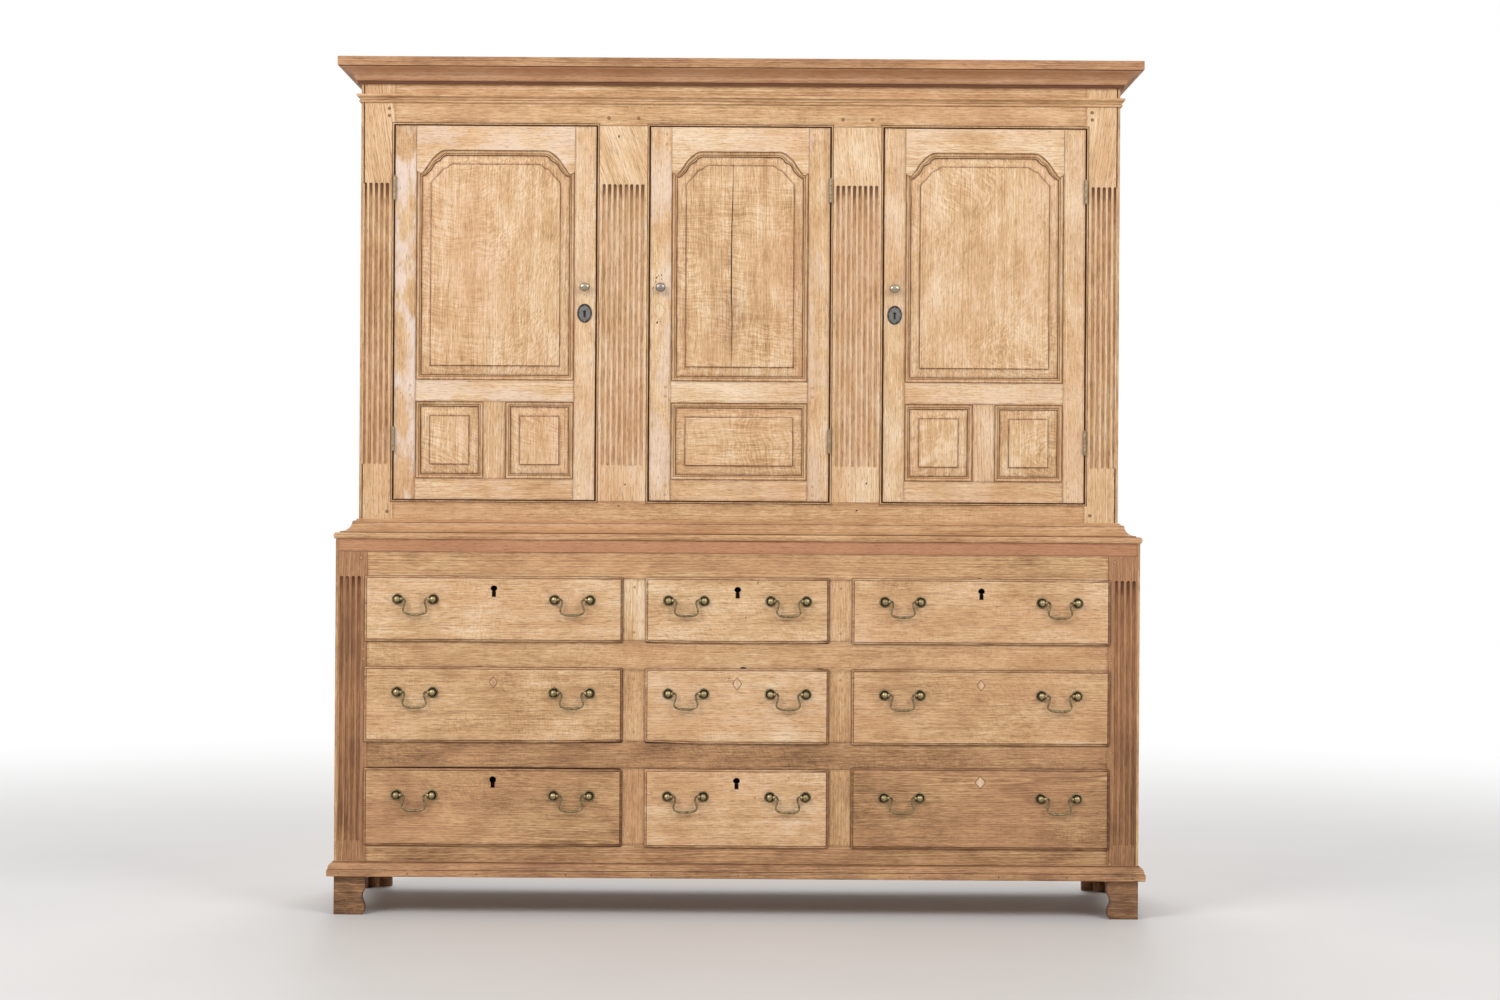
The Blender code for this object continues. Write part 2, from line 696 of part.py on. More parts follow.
def cornice():
    """The top board, which overhangs on three sides, with the cove moulding under its edge."""
    half = UPPER_WIDTH / 2 + CORNICE_OUT
    floor = PRESS_TOP + GAP
    board = add_part(
        "cornice", box((-half, UPPER_FRONT - CORNICE_OUT, floor), (half, BACK, floor + FASCIA)), "pale_oak"
    )
    drop = -COVE_DROP - COVE_FILLET
    profile = [(GAP, OVERLAP), (GAP, drop), (COVE_FOOT / 2, drop), (COVE_FOOT, -COVE_DROP)]
    for i in range(COVE_STEPS + 1):
        share = i / COVE_STEPS
        wave = COVE_WAVE * math.sin(2 * math.pi * share)
        out = COVE_FOOT + (COVE_OUT - COVE_FOOT) * share + wave
        profile.append((out, -COVE_DROP * (1 - share) - wave))
    profile = profile[:3] + profile[4:] + [(COVE_OUT, OVERLAP)]
    join(board, along_three_sides(profile, UPPER_WIDTH / 2, UPPER_FRONT, BACK, floor))


# Doors


def panel_rings(outline, insets_and_depths):
    """Rings for a loft: the outline, inset and set back from the front of the press by each pair."""
    return [
        [(x, UPPER_FRONT + depth, z) for x, z in inset(outline, distance)]
        for distance, depth in insets_and_depths
    ]


def door(place):
    """A framed door with raised panels, and with its half of two butt hinges."""
    width = DOOR_WIDTHS[place] - 2 * DOOR_PLAY
    left = DOOR_CENTRES[place] - width / 2
    right = left + width
    bottom = DOOR_FLOOR + DOOR_PLAY_ENDS
    top = DOOR_FLOOR + DOOR_OPENING - DOOR_PLAY_ENDS
    side = HINGE_SIDES[place]
    axis = hinge_axis(place)
    slab = box((left, UPPER_FRONT, bottom), (right, UPPER_FRONT + FRAME_THICK, top))
    piece = add_part(f"door_{place}", slab, "pale_oak", origin=(axis.x, axis.y, bottom))

    lower_floor = bottom + DOOR_BOTTOM_RAIL
    lower_top = lower_floor + LOWER_PANEL
    upper_floor = lower_top + DOOR_MIDDLE_RAIL
    crown = top - DOOR_TOP_RAIL
    in_left = left + DOOR_STILE
    in_right = right - DOOR_STILE
    upper = arched(in_left, in_right, upper_floor, crown, ARCH_EAR, ARCH_EAR_RISE, ARCH_RUN, ARCH_RISE)
    field = arched(
        in_left + FIELD_BORDER, in_right - FIELD_BORDER, upper_floor + FIELD_BORDER, crown - FIELD_BORDER,
        FIELD_EAR, FIELD_EAR_RISE, FIELD_RUN, FIELD_RISE,
    )
    columns = [(in_left, in_right)]
    if place != "middle":
        middle = (left + right) / 2
        columns = [(in_left, middle - DOOR_MUNTIN / 2), (middle + DOOR_MUNTIN / 2, in_right)]
    lowers = [rectangle(a, b, lower_floor, lower_top) for a, b in columns]
    lower_fields = [inset(outline, FIELD_BORDER) for outline in lowers]

    outset = PANEL_MOULD * OVERLAP / PANEL_MOULD_DEPTH
    recess = [(-outset, -OVERLAP), (PANEL_MOULD, PANEL_MOULD_DEPTH), (PANEL_MOULD, PANEL_DEPTH)]
    recesses = [loft(panel_rings(outline, recess)) for outline in [upper, *lowers]]
    back = UPPER_FRONT + FRAME_THICK
    backs = [rectangle(in_left, in_right, upper_floor, crown - ARCH_RISE), *lowers]
    recesses += [prism(outline, "XZ", back - BACK_RECESS, back + OVERLAP) for outline in backs]
    cut(piece, merged(*recesses))
    foot_ring = [(PANEL_MOULD + PANEL_MARGIN, PANEL_DEPTH + OVERLAP)]
    fields = [
        loft(panel_rings(outline, foot_ring) + panel_rings(face, [(0.0, FIELD_DEPTH)]))
        for outline, face in zip([upper, *lowers], [field, *lower_fields])
    ]
    join(piece, merged(*fields))

    edge = right if side > 0 else left
    leaf_x = sorted((edge + side * LEAF_SHOWS, edge - side * OVERLAP))
    leaves, knuckles, bores = [], [], []
    for height in HINGE_HEIGHTS.values():
        leaves.append(box((leaf_x[0], UPPER_FRONT + OVERLAP / 2, height - HINGE_LENGTH / 2),
                          (leaf_x[1], UPPER_FRONT + LEAF_DEEP, height + HINGE_LENGTH / 2)))
        low = height - KNUCKLE_MIDDLE / 2
        high = height + KNUCKLE_MIDDLE / 2
        foot = Vector((axis.x, axis.y, low))
        head = Vector((axis.x, axis.y, high))
        past = Vector((0, 0, OVERLAP))
        knuckles.append(cylinder(KNUCKLE_RADIUS, foot, head, KNUCKLE_STEPS))
        bores.append(cylinder(PIN_BORE, foot - past, head + past, KNUCKLE_STEPS))
        tab = box((leaf_x[0], axis.y + PIN_BORE, low + OVERLAP / 2),
                  (leaf_x[1], UPPER_FRONT + OVERLAP, high - OVERLAP / 2))
        join(piece, tab)
    join(piece, merged(*leaves))
    join(piece, merged(*knuckles))
    cut(piece, merged(*bores))
    return piece


def hinge_axis(place):
    """Where a door turns: in the middle of the gap beside its hinged edge, proud of the face."""
    opening_edge = DOOR_CENTRES[place] + HINGE_SIDES[place] * DOOR_WIDTHS[place] / 2
    return Vector((opening_edge - HINGE_SIDES[place] * DOOR_PLAY / 2, UPPER_FRONT - KNUCKLE_PROUD, 0))


def hinge(name, place, height):
    """The fixed half of a butt hinge: a leaf on the frame's edge, two knuckles and the pin."""
    side = HINGE_SIDES[place]
    axis = hinge_axis(place)
    frame_edge = DOOR_CENTRES[place] + side * DOOR_WIDTHS[place] / 2
    leaf_x = sorted((frame_edge - side * GAP, frame_edge - side * (GAP + LEAF_THICK)))
    low = height - HINGE_LENGTH / 2
    high = height + HINGE_LENGTH / 2
    leaf = box((leaf_x[0], UPPER_FRONT, low), (leaf_x[1], UPPER_FRONT + LEAF_DEEP, high))
    piece = add_part(name, leaf, "iron", origin=(axis.x, axis.y, height))
    inner = KNUCKLE_MIDDLE / 2 + KNUCKLE_GAP
    spans = [(low, height - inner), (height + inner, high)]
    join(piece, merged(*[
        box((leaf_x[0], axis.y, start + OVERLAP), (leaf_x[1], UPPER_FRONT + OVERLAP, end - OVERLAP))
        for start, end in spans
    ]))
    join(piece, merged(*[
        cylinder(KNUCKLE_RADIUS, (axis.x, axis.y, start), (axis.x, axis.y, end), KNUCKLE_STEPS)
        for start, end in spans
    ]))
    join(piece, cylinder(PIN_RADIUS, (axis.x, axis.y, low + OVERLAP), (axis.x, axis.y, high - OVERLAP),
                         KNUCKLE_STEPS))


def knob(place, door_piece):
    """A turned brass knob on the stile away from the hinges."""
    side = HINGE_SIDES[place]
    x = DOOR_CENTRES[place] - side * (DOOR_WIDTHS[place] / 2 - DOOR_PLAY - KNOB_INSET)
    z = DOOR_FLOOR + DOOR_PLAY_ENDS + KNOB_HEIGHT
    half = math.pi / 4
    profile = [
        (0.0, KNOB_STAND + KNOB_RADIUS / 2),
        (KNOB_RADIUS * math.cos(half), KNOB_STAND + KNOB_RADIUS / 2 * math.sin(half)),
        (KNOB_RADIUS, KNOB_STAND),
        (KNOB_RADIUS * math.cos(half), KNOB_STAND - KNOB_RADIUS / 2 * math.sin(half)),
        (KNOB_NECK, KNOB_STAND - KNOB_RADIUS / 2),
        (KNOB_NECK, ROSE_THICK),
        (KNOB_ROSE, ROSE_EDGE),
        (KNOB_ROSE, 0.0),
        (0.0, 0.0),
    ]
    place_matrix = Matrix.Translation((x, UPPER_FRONT - GAP, z)) @ Matrix.Rotation(math.pi / 2, 4, "X")
    mesh = moved(turned(profile, KNOB_STEPS), place_matrix)
    carry(door_piece, add_part(f"knob_{place}", mesh, "brass", origin=(x, UPPER_FRONT - GAP, z)))


# Drawers


def handle_post():
    """One handle post, turned about -Y with the drawer's face at the origin: a rose, a neck and a ball."""
    slant = HEAD_RADIUS * math.cos(math.pi / 4)
    profile = [
        (0.0, POST_STAND + HEAD_RADIUS),
        (slant, POST_STAND + slant),
        (HEAD_RADIUS, POST_STAND),
        (NECK_RADIUS, POST_STAND - HEAD_RADIUS),
        (NECK_RADIUS, ROSE_THICK),
        (ROSE_RADIUS, ROSE_EDGE),
        (ROSE_RADIUS, -OVERLAP),
        (0.0, -OVERLAP),
    ]
    return moved(turned(profile, POST_STEPS), Matrix.Rotation(math.pi / 2, 4, "X"))


def bail():
    """A swan-neck bail, hanging from the axis of its two posts, with the axis through its origin."""
    half = [(POST_PITCH / 2 - BAIL_END, 0.0), *BAIL_NECK, *BAIL_SWEEP]
    path = [(-x, 0.0, z) for x, z in half] + [(x, 0.0, z) for x, z in reversed(half)]
    return rod(path, BAIL_RADIUS)


def drawer(row, column, post, bail_mesh):
    """A lipped drawer with four handle posts and two hanging bails."""
    centre = COLUMN_CENTRES[column]
    half = COLUMN_WIDTHS[column] / 2
    floor = ROW_FLOORS[row]
    ceiling = floor + ROW_HEIGHTS[row]
    face = BASE_FRONT - GAP - LIP_THICK
    lip = rectangle(centre - half - LIP_OVERLAP, centre + half + LIP_OVERLAP, floor - LIP_OVERLAP,
                    ceiling + LIP_OVERLAP)
    steps = [
        (0.0, BASE_FRONT - GAP),
        (0.0, BASE_FRONT - GAP - LIP_SQUARE),
        (LIP_MOULD / 2, face + 2 * LIP_STEP),
        (LIP_MOULD, face + LIP_STEP),
        (LIP_MOULD + LIP_STEP / 2, face),
    ]
    rings = [[(x, y, z) for x, z in inset(lip, distance)] for distance, y in steps]
    name = f"drawer_{row}_{column}"
    piece = add_part(name, loft(rings), "brown_oak", origin=(centre, face, floor))
    body_half = half - DRAWER_PLAY
    body_back = BASE_FRONT + DRAWER_LENGTH
    join(piece, box((centre - body_half, BASE_FRONT - LIP_SQUARE, floor + GAP),
                    (centre + body_half, body_back, ceiling - DRAWER_HEAD)))
    bed = floor + GAP + DRAWER_BOTTOM
    cut(piece, box((centre - body_half + DRAWER_SIDE, BASE_FRONT + DRAWER_FRONT, bed),
                   (centre + body_half - DRAWER_SIDE, body_back - DRAWER_BACK, ceiling + OVERLAP)))
    spread = MIDDLE_HANDLES if column == "middle" else SIDE_HANDLES
    height = (floor + ceiling) / 2 + HANDLE_RISES[row]
    handles = {"left": centre - spread / 2, "right": centre + spread / 2}
    posts = [(x, sign) for x in handles.values() for sign in (-1, 1)]
    join(piece, moved(post, *[
        Matrix.Translation((x + sign * POST_PITCH / 2, face, height)) for x, sign in posts
    ]))
    axis_y = face - POST_STAND
    cut(piece, merged(*[
        cylinder(EYE_RADIUS, (x + sign * (POST_PITCH / 2 - HEAD_RADIUS - OVERLAP), axis_y, height),
                 (x + sign * (POST_PITCH / 2 + EYE_PAST), axis_y, height), POST_STEPS)
        for x, sign in posts
    ]))
    for side, x in handles.items():
        axis = (x, axis_y, height)
        hanging = moved(bail_mesh, Matrix.Translation(axis))
        carry(piece, add_part(f"bail_{row}_{column}_{side}", hanging, "brass", origin=axis))


def build():
    for place, sign in (("left", -1), ("right", 1)):
        case_side(f"base_side_{place}", sign, BASE_WIDTH, BASE_FRONT, FOOT_HEIGHT, BASE_TOP, "brown_oak")
        upper_side(f"upper_side_{place}", sign)
        foot(f"foot_front_{place}", sign, True)
        foot(f"foot_rear_{place}", sign, False)
    case_back("base_back", BASE_WIDTH, FOOT_HEIGHT, BASE_TOP - GAP)
    case_back("upper_back", UPPER_WIDTH, BASE_TOP + GAP, PRESS_TOP)
    base_face_frame()
    dust_board("base_floor", "bottom")
    dust_board("dust_board_middle", "middle")
    dust_board("dust_board_upper", "top")
    base_top()
    plinth_moulding()
    case_board("upper_floor", UPPER_WIDTH, UPPER_FRONT, DOOR_FLOOR - BOARD_THICK, DOOR_FLOOR, "inner_oak")
    upper_face_frame()
    shelf("shelf_lower", LOWER_SHELF)
    shelf("shelf_upper", UPPER_SHELF)
    cornice()
    for place in DOOR_CENTRES:
        piece = door(place)
        knob(place, piece)
        for end, height in HINGE_HEIGHTS.items():
            hinge(f"hinge_{place}_{end}", place, height)
    post = handle_post()
    bail_mesh = bail()
    for row in ROW_FLOORS:
        for column in COLUMN_CENTRES:
            drawer(row, column, post, bail_mesh)


build()
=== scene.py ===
# %% [markdown]
# # Housekeepers cupboard
# A press with three arched doors stands on a chest of nine lipped drawers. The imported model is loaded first: it
# fixes where every piece is and what it moves with. Each piece of joinery is then made again, board by board, as a
# joiner would cut it, and takes the place of its plain solid.

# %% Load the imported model
import json
import math
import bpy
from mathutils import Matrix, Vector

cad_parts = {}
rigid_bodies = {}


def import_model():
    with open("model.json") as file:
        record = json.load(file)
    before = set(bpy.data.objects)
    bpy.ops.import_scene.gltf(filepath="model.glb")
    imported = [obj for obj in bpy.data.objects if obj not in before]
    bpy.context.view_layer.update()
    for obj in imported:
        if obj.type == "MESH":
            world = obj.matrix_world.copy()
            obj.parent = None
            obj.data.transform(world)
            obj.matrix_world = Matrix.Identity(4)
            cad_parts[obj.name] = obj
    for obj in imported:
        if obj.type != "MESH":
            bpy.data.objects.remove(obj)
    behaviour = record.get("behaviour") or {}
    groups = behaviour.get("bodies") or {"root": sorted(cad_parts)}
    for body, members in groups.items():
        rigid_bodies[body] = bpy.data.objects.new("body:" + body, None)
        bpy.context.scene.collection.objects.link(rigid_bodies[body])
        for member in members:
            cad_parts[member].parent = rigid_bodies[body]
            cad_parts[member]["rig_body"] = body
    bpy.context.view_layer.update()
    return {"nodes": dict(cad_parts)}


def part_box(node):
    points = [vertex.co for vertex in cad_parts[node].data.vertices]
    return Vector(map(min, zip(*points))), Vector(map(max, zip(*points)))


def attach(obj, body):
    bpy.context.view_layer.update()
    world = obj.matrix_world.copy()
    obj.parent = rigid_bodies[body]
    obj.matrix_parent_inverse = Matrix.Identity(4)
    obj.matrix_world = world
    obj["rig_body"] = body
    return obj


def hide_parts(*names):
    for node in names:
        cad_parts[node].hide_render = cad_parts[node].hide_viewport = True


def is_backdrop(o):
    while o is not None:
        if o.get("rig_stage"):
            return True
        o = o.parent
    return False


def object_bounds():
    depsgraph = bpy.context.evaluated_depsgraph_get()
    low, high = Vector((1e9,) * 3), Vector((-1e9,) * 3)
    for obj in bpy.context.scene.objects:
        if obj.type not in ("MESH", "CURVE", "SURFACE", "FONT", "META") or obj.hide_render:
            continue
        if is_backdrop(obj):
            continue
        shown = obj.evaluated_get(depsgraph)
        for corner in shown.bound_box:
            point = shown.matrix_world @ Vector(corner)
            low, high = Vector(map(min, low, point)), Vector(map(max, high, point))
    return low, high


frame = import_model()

import zlib
from typing import NamedTuple

import bmesh
import bpy
import numpy as np
from mathutils import Vector

# %% [markdown]
# ## Measures
# A dresser-maker works from a rod: one strip of wood with every height and width marked on it. The values below do
# the same job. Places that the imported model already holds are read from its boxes, so both stay in step.

# %% The rod
MM = 0.001
GAP = 0.3 * MM
JOINT = 0.15 * MM
SIDES = {"left": -1, "right": 1}
(_, CHEST_FRONT, FOOT_TOP), (CHEST_HALF, _, CHEST_TOP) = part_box("base_side_right")
(_, PRESS_FRONT, PRESS_FLOOR), (PRESS_HALF, _, PRESS_TOP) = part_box("upper_side_right")
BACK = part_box("base_back")[1].y
BAND_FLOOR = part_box("base_face_frame")[1].z
CORNICE_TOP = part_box("cornice")[1].z
FRAME_THICK = 22 * MM
SIDE_THICK = 20 * MM
SIDE_EDGE = 6 * MM
BACK_COVER = 8 * MM
BACK_THICK = 12 * MM
CHEST_FRAME_BACK, PRESS_FRAME_BACK = CHEST_FRONT + FRAME_THICK, PRESS_FRONT + FRAME_THICK
ROWS = {"bottom": (0.178, 0.3675), "middle": (0.436, 0.612), "top": (0.686, 0.838)}
COLUMNS = {"left": (-0.921, -0.290), "middle": (-0.223, 0.223), "right": (0.290, 0.921)}
DOOR_FLOOR, DOOR_HEAD = 1.0325, 1.971
DOORWAYS = {"left": (-0.8664, -0.3586), "middle": (-0.227, 0.227), "right": (0.3586, 0.8664)}
HINGE_SIDES = {"left": -1, "middle": 1, "right": 1}
print("chest", 2 * CHEST_HALF, "wide, press", 2 * PRESS_HALF, "wide, top at", round(CORNICE_TOP, 4))

# %% [markdown]
# ## Flat outlines
# Nearly every piece of joinery is a flat outline with some thickness. An outline is an array of (across, up)
# points, anticlockwise. Working on the whole array at once keeps each rule to one line of arithmetic.


# %% Outlines
def rectangle(left, right, bottom, top):
    """Four corners, anticlockwise from the lower left."""
    return np.array([(left, bottom), (right, bottom), (right, top), (left, top)], float)


def divided(outline, step=0.04, like=None):
    """Every side cut into equal lengths no longer than a step: point = corner + share x side.

    Where another outline is given, each side is cut into as many lengths as that outline's side would be.
    """
    like = outline if like is None else like
    lengths = np.linalg.norm(np.roll(like, -1, axis=0) - like, axis=1)
    pieces = []
    for start, end, length in zip(outline, np.roll(outline, -1, axis=0), lengths):
        count = max(1, math.ceil(length / step))
        pieces.append(start + (end - start) * np.arange(count)[:, None] / count)
    return np.concatenate(pieces)


def inset(outline, distance):
    """Every side moved inwards: corner + (sum of both sides' unit normals) x distance / (1 + their cosine)."""
    before = outline - np.roll(outline, 1, axis=0)
    before = before / np.linalg.norm(before, axis=1, keepdims=True)
    after = np.roll(before, -1, axis=0)
    normals = np.stack([-before, -after])[..., ::-1] * (1, -1)
    lean = 1 + (normals[0] * normals[1]).sum(axis=1, keepdims=True)
    return outline + normals.sum(axis=0) * np.reshape(distance, (-1, 1)) / lean


def turning(outline):
    """The angle by which a closed outline turns at each point, positive to the left."""
    run = np.roll(outline, -1, axis=0) - outline
    heading = np.arctan2(run[:, 1], run[:, 0])
    return np.angle(np.exp(1j * (heading - np.roll(heading, 1))))


def through(points, steps=6):
    """A smooth line through points: between two of them, the Catmull-Rom cubic of the four nearest."""
    points = np.asarray(points, float)
    padded = np.concatenate([[2 * points[0] - points[1]], points, [2 * points[-1] - points[-2]]])
    share = (np.arange(steps) / steps)[None, :, None]
    a, b, c, d = (padded[i:len(padded) - 3 + i, None] for i in range(4))
    line = b + share / 2 * (c - a + share * (2 * a - 5 * b + 4 * c - d + share * (3 * b - a - 3 * c + d)))
    return np.concatenate([line.reshape(-1, points.shape[1]), points[-1:]])


def arc(centre, radius, start, end, steps=6):
    """Points on an ellipse: centre + radius x (cosine, sine) of angles, in degrees, from start to end."""
    angle = np.radians(np.linspace(start, end, steps + 1))
    return np.asarray(centre) + np.asarray(radius) * directions(angle)


def directions(angle):
    """The unit vector (cosine, sine) of each angle."""
    return np.stack([np.cos(angle), np.sin(angle)], axis=-1)


def circle(count):
    """Angles spread evenly round a circle."""
    return np.linspace(0, 2 * math.pi, count, endpoint=False)


square = rectangle(0, 1, 0, 1)
print("a unit square inset by a tenth has the corner", inset(square, 0.1)[0])

# %% [markdown]
# ## Skins
# A piece is a skin drawn over rings of points, the way a boat is planked over its frames. Each ring is one row of a
# grid, so a piece is a function of two numbers: how far round the ring, and which ring. Every point also carries
# its share of old wax and dirt, with painted shade: both are darkest in hollows, along joints and in gaps.


# %% Rings to a closed skin
class Shape(NamedTuple):
    """Points in space, faces as lists of point numbers, and the dirt with painted shade at each point, from 0 to 1.
    """
    points: np.ndarray
    faces: list
    dirt_and_shade: np.ndarray


def skin(rings, dirt_and_shade):
    """Joins point (ring, place) to its neighbours in the ring and in the next ring, and fills both ends."""
    rings = np.asarray(rings)
    rows, columns = rings.shape[:2]
    number = np.arange(rows * columns).reshape(rows, columns)
    beside = np.roll(number, -1, axis=1)
    faces = np.stack([number[:-1], beside[:-1], beside[1:], number[1:]], axis=-1).reshape(-1, 4).tolist()
    faces += [number[0, ::-1].tolist(), number[-1].tolist()]
    dirt_and_shade = np.broadcast_to(np.asarray(dirt_and_shade, float), (rows, columns))
    return Shape(rings.reshape(-1, 3), faces, dirt_and_shade.reshape(-1))


def one_each(dirt_and_shade):
    """The dirt and painted shade of a skin whose rings have one value each."""
    return np.array(dirt_and_shade, float)[:, None]


def together(shapes):
    """Several shapes as one: each one's face numbers are raised by the points that come before it."""
    starts = np.cumsum([0] + [len(shape.points) for shape in shapes])
    faces = [[number + int(start) for number in face] for shape, start in zip(shapes, starts)
             for face in shape.faces]
    return Shape(np.concatenate([shape.points for shape in shapes]), faces,
                 np.concatenate([shape.dirt_and_shade for shape in shapes]))


# An outline's two directions and its level, as space axes: 0 is X, 1 is Y and 2 is Z
FACINGS = {"front": (0, 2, 1), "side": (1, 2, 0), "top": (0, 1, 2)}


def placed(flat, level, facing="front"):
    """Flat points set at a level: each direction of the outline becomes one axis of space."""
    points = np.zeros((*flat.shape[:-1], 3))
    for axis, values in zip(FACINGS[facing], (flat[..., 0], flat[..., 1], level)):
        points[..., axis] = values
    return points


print("facings", ", ".join(FACINGS))

# %% [markdown]
# ## A board
# A real board never has knife edges: two hundred years of hands round its arrises off, more in some places than
# in others. The face is drawn as a few nested outlines, so that dirt and painted shade can be strong at the edge
# and gone a finger's width in.

# %% Boards
# Distance in from the edge in mm, and the dirt with painted shade there
FACE_STEPS = np.array([(2.0, 0.42), (4.5, 0.24), (9.0, 0.10), (16.0, 0.0)])
ARRIS_STEPS = np.radians([0, 35, 65, 90])
BACK_EASE, BACK_DIRT, ARRIS_DIRT = 0.4 * MM, 0.25, 0.3


def seed(name):
    """Random numbers that belong to one name, the same in every run."""
    return np.random.default_rng(zlib.crc32(name.encode()))


def wandering(count, random, waves=5):
    """A gentle wave round a closed outline, from -1 to 1: a sum of sines with random starts and heights."""
    place = 2 * math.pi * np.arange(count)[:, None] / count * np.arange(1, waves + 1)
    height = random.random(waves) / np.arange(1, waves + 1) ** 0.5
    wave = (np.sin(place + random.random(waves) * 2 * math.pi) * height).sum(axis=1)
    return wave / max(1e-9, np.abs(wave).max())


def plate(key, outline, face, back, facing="front", ease=0.8 * MM, step=0.04, foot=None, wave=0.15 * MM,
          reach=1.0, edge_dirt=0.9):
    """A board between two levels: rings from its back, round the eased arris, to nested rings on its face.

    On the arris, inset = ease x (1 - cosine) and sinking = ease x (1 - sine), with the ease a little uneven.
    A foot lists outlines and levels that come before the back edge, such as those of a rebate.
    """
    random = seed(key)
    outline = divided(np.asarray(outline, float), step)
    inward = math.copysign(1, back - face)
    worn = ease * (1 + 0.45 * wandering(len(outline), random))
    wave = wave * wandering(len(outline), random)
    rings = [(flat, level, BACK_DIRT)
             for flat, level in foot or [(inset(outline, 4 * MM), back), (inset(outline, BACK_EASE), back)]]
    rings.append((inset(outline, wave), back - inward * BACK_EASE * (foot is None), 0.5 * edge_dirt))
    for angle in ARRIS_STEPS:
        rings.append((inset(outline, wave + worn * (1 - math.cos(angle))),
                      face + inward * worn * (1 - math.sin(angle)),
                      edge_dirt - (edge_dirt - ARRIS_DIRT) * math.sin(angle)))
    for distance, amount in FACE_STEPS * (MM * reach, 1):
        rings.append((inset(outline, distance + ease), face, amount))
    return skin([placed(flat, level, facing) for flat, level, _ in rings], one_each([ring[2] for ring in rings]))


print("a short rail takes", len(plate("sample", rectangle(0, 0.3, 0, 0.08), 0.0, 0.02).points), "points")

# %% [markdown]
# ## Lengths of moulding
# A moulding is planed as a long stick with one section, then sawn at 45 degrees where it turns a corner. Here the
# section is carried along the side that it follows. Where a length meets its neighbour, each point of the section
# runs as far as its own distance out from the case, and that alone cuts the mitre.

# %% Mouldings
DEEP_HOLLOW, MITRE_TURN = math.radians(55), math.radians(20)
STATIONS, MITRE_SLIT, MOULDING_WEAR = {"front": 40, "left": 20, "right": 20}, 0.12 * MM, 0.3 * MM


def hollow_dirt_and_shade(section):
    """Dirt and painted shade for each point of a closed section: how far it turns inwards there, as a share of a
    deep hollow.
    """
    area = (section[:, 0] * np.roll(section[:, 1], -1) - section[:, 1] * np.roll(section[:, 0], -1)).sum()
    return np.clip(-turning(section) * math.copysign(1, area) / DEEP_HOLLOW, 0, 1)


def case_moulding(key, section, half, front, floor, dirt_and_shade=None):
    """The left return, the front and the right return of a moulding round a case.

    A point (out, up) of the section lies at half + out to the side, or front - out to the front. On the front
    length, across = share x (half + out); on a return, deep = front - out + share x its length.
    """
    random = seed(key)
    out, up = section.T
    dirt_and_shade = 1.5 * hollow_dirt_and_shade(section) if dirt_and_shade is None else dirt_and_shade
    shapes = {}
    for side, stations in STATIONS.items():
        share = np.linspace(-1 if side == "front" else 0, 1, stations)[:, None]
        near_mitre = share ** 8 if side == "front" else (1 - share) ** 6
        uneven = MOULDING_WEAR * wandering(stations, random)[:, None] * (out > 2 * MM) * (1 - near_mitre)
        if side == "front":
            across, deep = share * (half + out - MITRE_SLIT), front - out + uneven
        else:
            start = front - out + MITRE_SLIT
            across, deep = SIDES[side] * (half + out + uneven), start + share * (BACK - start)
        shapes[side] = skin(np.stack([across, deep, np.broadcast_to(floor + up, uneven.shape)], axis=-1), dirt_and_shade)
    return shapes


def framed(outline, section, dirt_and_shade, family):
    """A moulding mitred round an outline in a door or its doorway, one length from each corner to the next.

    A point (in, deep) of the section runs along the line that a family of lines has at the distance in, at a
    level that is deep behind the press's front.
    """
    lines = np.stack([family(outline, distance) for distance in section[:, 0]], axis=1)
    outline = outline if outline.ndim == 2 else outline[0]
    rings = placed(lines, PRESS_FRONT + section[:, 1])
    turns = np.flatnonzero(np.abs(turning(outline)) > MITRE_TURN)
    lengths = []
    for start, end in zip(turns, np.roll(turns, -1)):
        count = (end - start) % len(outline) + 1
        lengths.append(skin(rings[(start + np.arange(count)) % len(outline)], dirt_and_shade))
    return together(lengths)


print("a square turns by", np.degrees(turning(square)).round(), "degrees")

# %% [markdown]
# ## Turned pieces and bent rods
# Knobs and roses are turned on a lathe: one profile spun round an axis. A handle's bail is a cast rod: a circle
# carried along a line, thicker in some places. Both are grids of a place along the profile and an angle round it.


# %% Turning and rods
def turned(profile, centre, steps, dirt_and_shade, stretch=(1.0, 1.0)):
    """A profile of (radius, stand) turned about an axis that points forward, along -Y, from a centre.

    Across = radius x cosine, up = radius x sine, forward = stand; the stretch makes the round an oval.
    """
    angle = circle(steps)
    radius, stand = profile[:, :1], profile[:, 1:]
    rings = np.stack([centre[0] + radius * np.cos(angle) * stretch[0],
                      np.broadcast_to(centre[1] - stand, (len(profile), steps)),
                      centre[2] + radius * np.sin(angle) * stretch[1]], axis=-1)
    return skin(rings, one_each(dirt_and_shade))


def rod(path, radius, steps, dirt_and_shade):
    """A tube in an upright plane: point = path + radius x (cosine x the plane's normal + sine x forward)."""
    run = np.gradient(path, axis=0)
    run /= np.linalg.norm(run, axis=1, keepdims=True)
    normal = np.stack([-run[:, 2], np.zeros(len(path)), run[:, 0]], axis=1)[:, None]
    angle = circle(steps)[None, :, None]
    forward = np.array([0, -1, 0])
    rings = path[:, None] + radius[:, None, None] * (np.cos(angle) * normal + np.sin(angle) * forward)
    return skin(rings, one_each(dirt_and_shade))


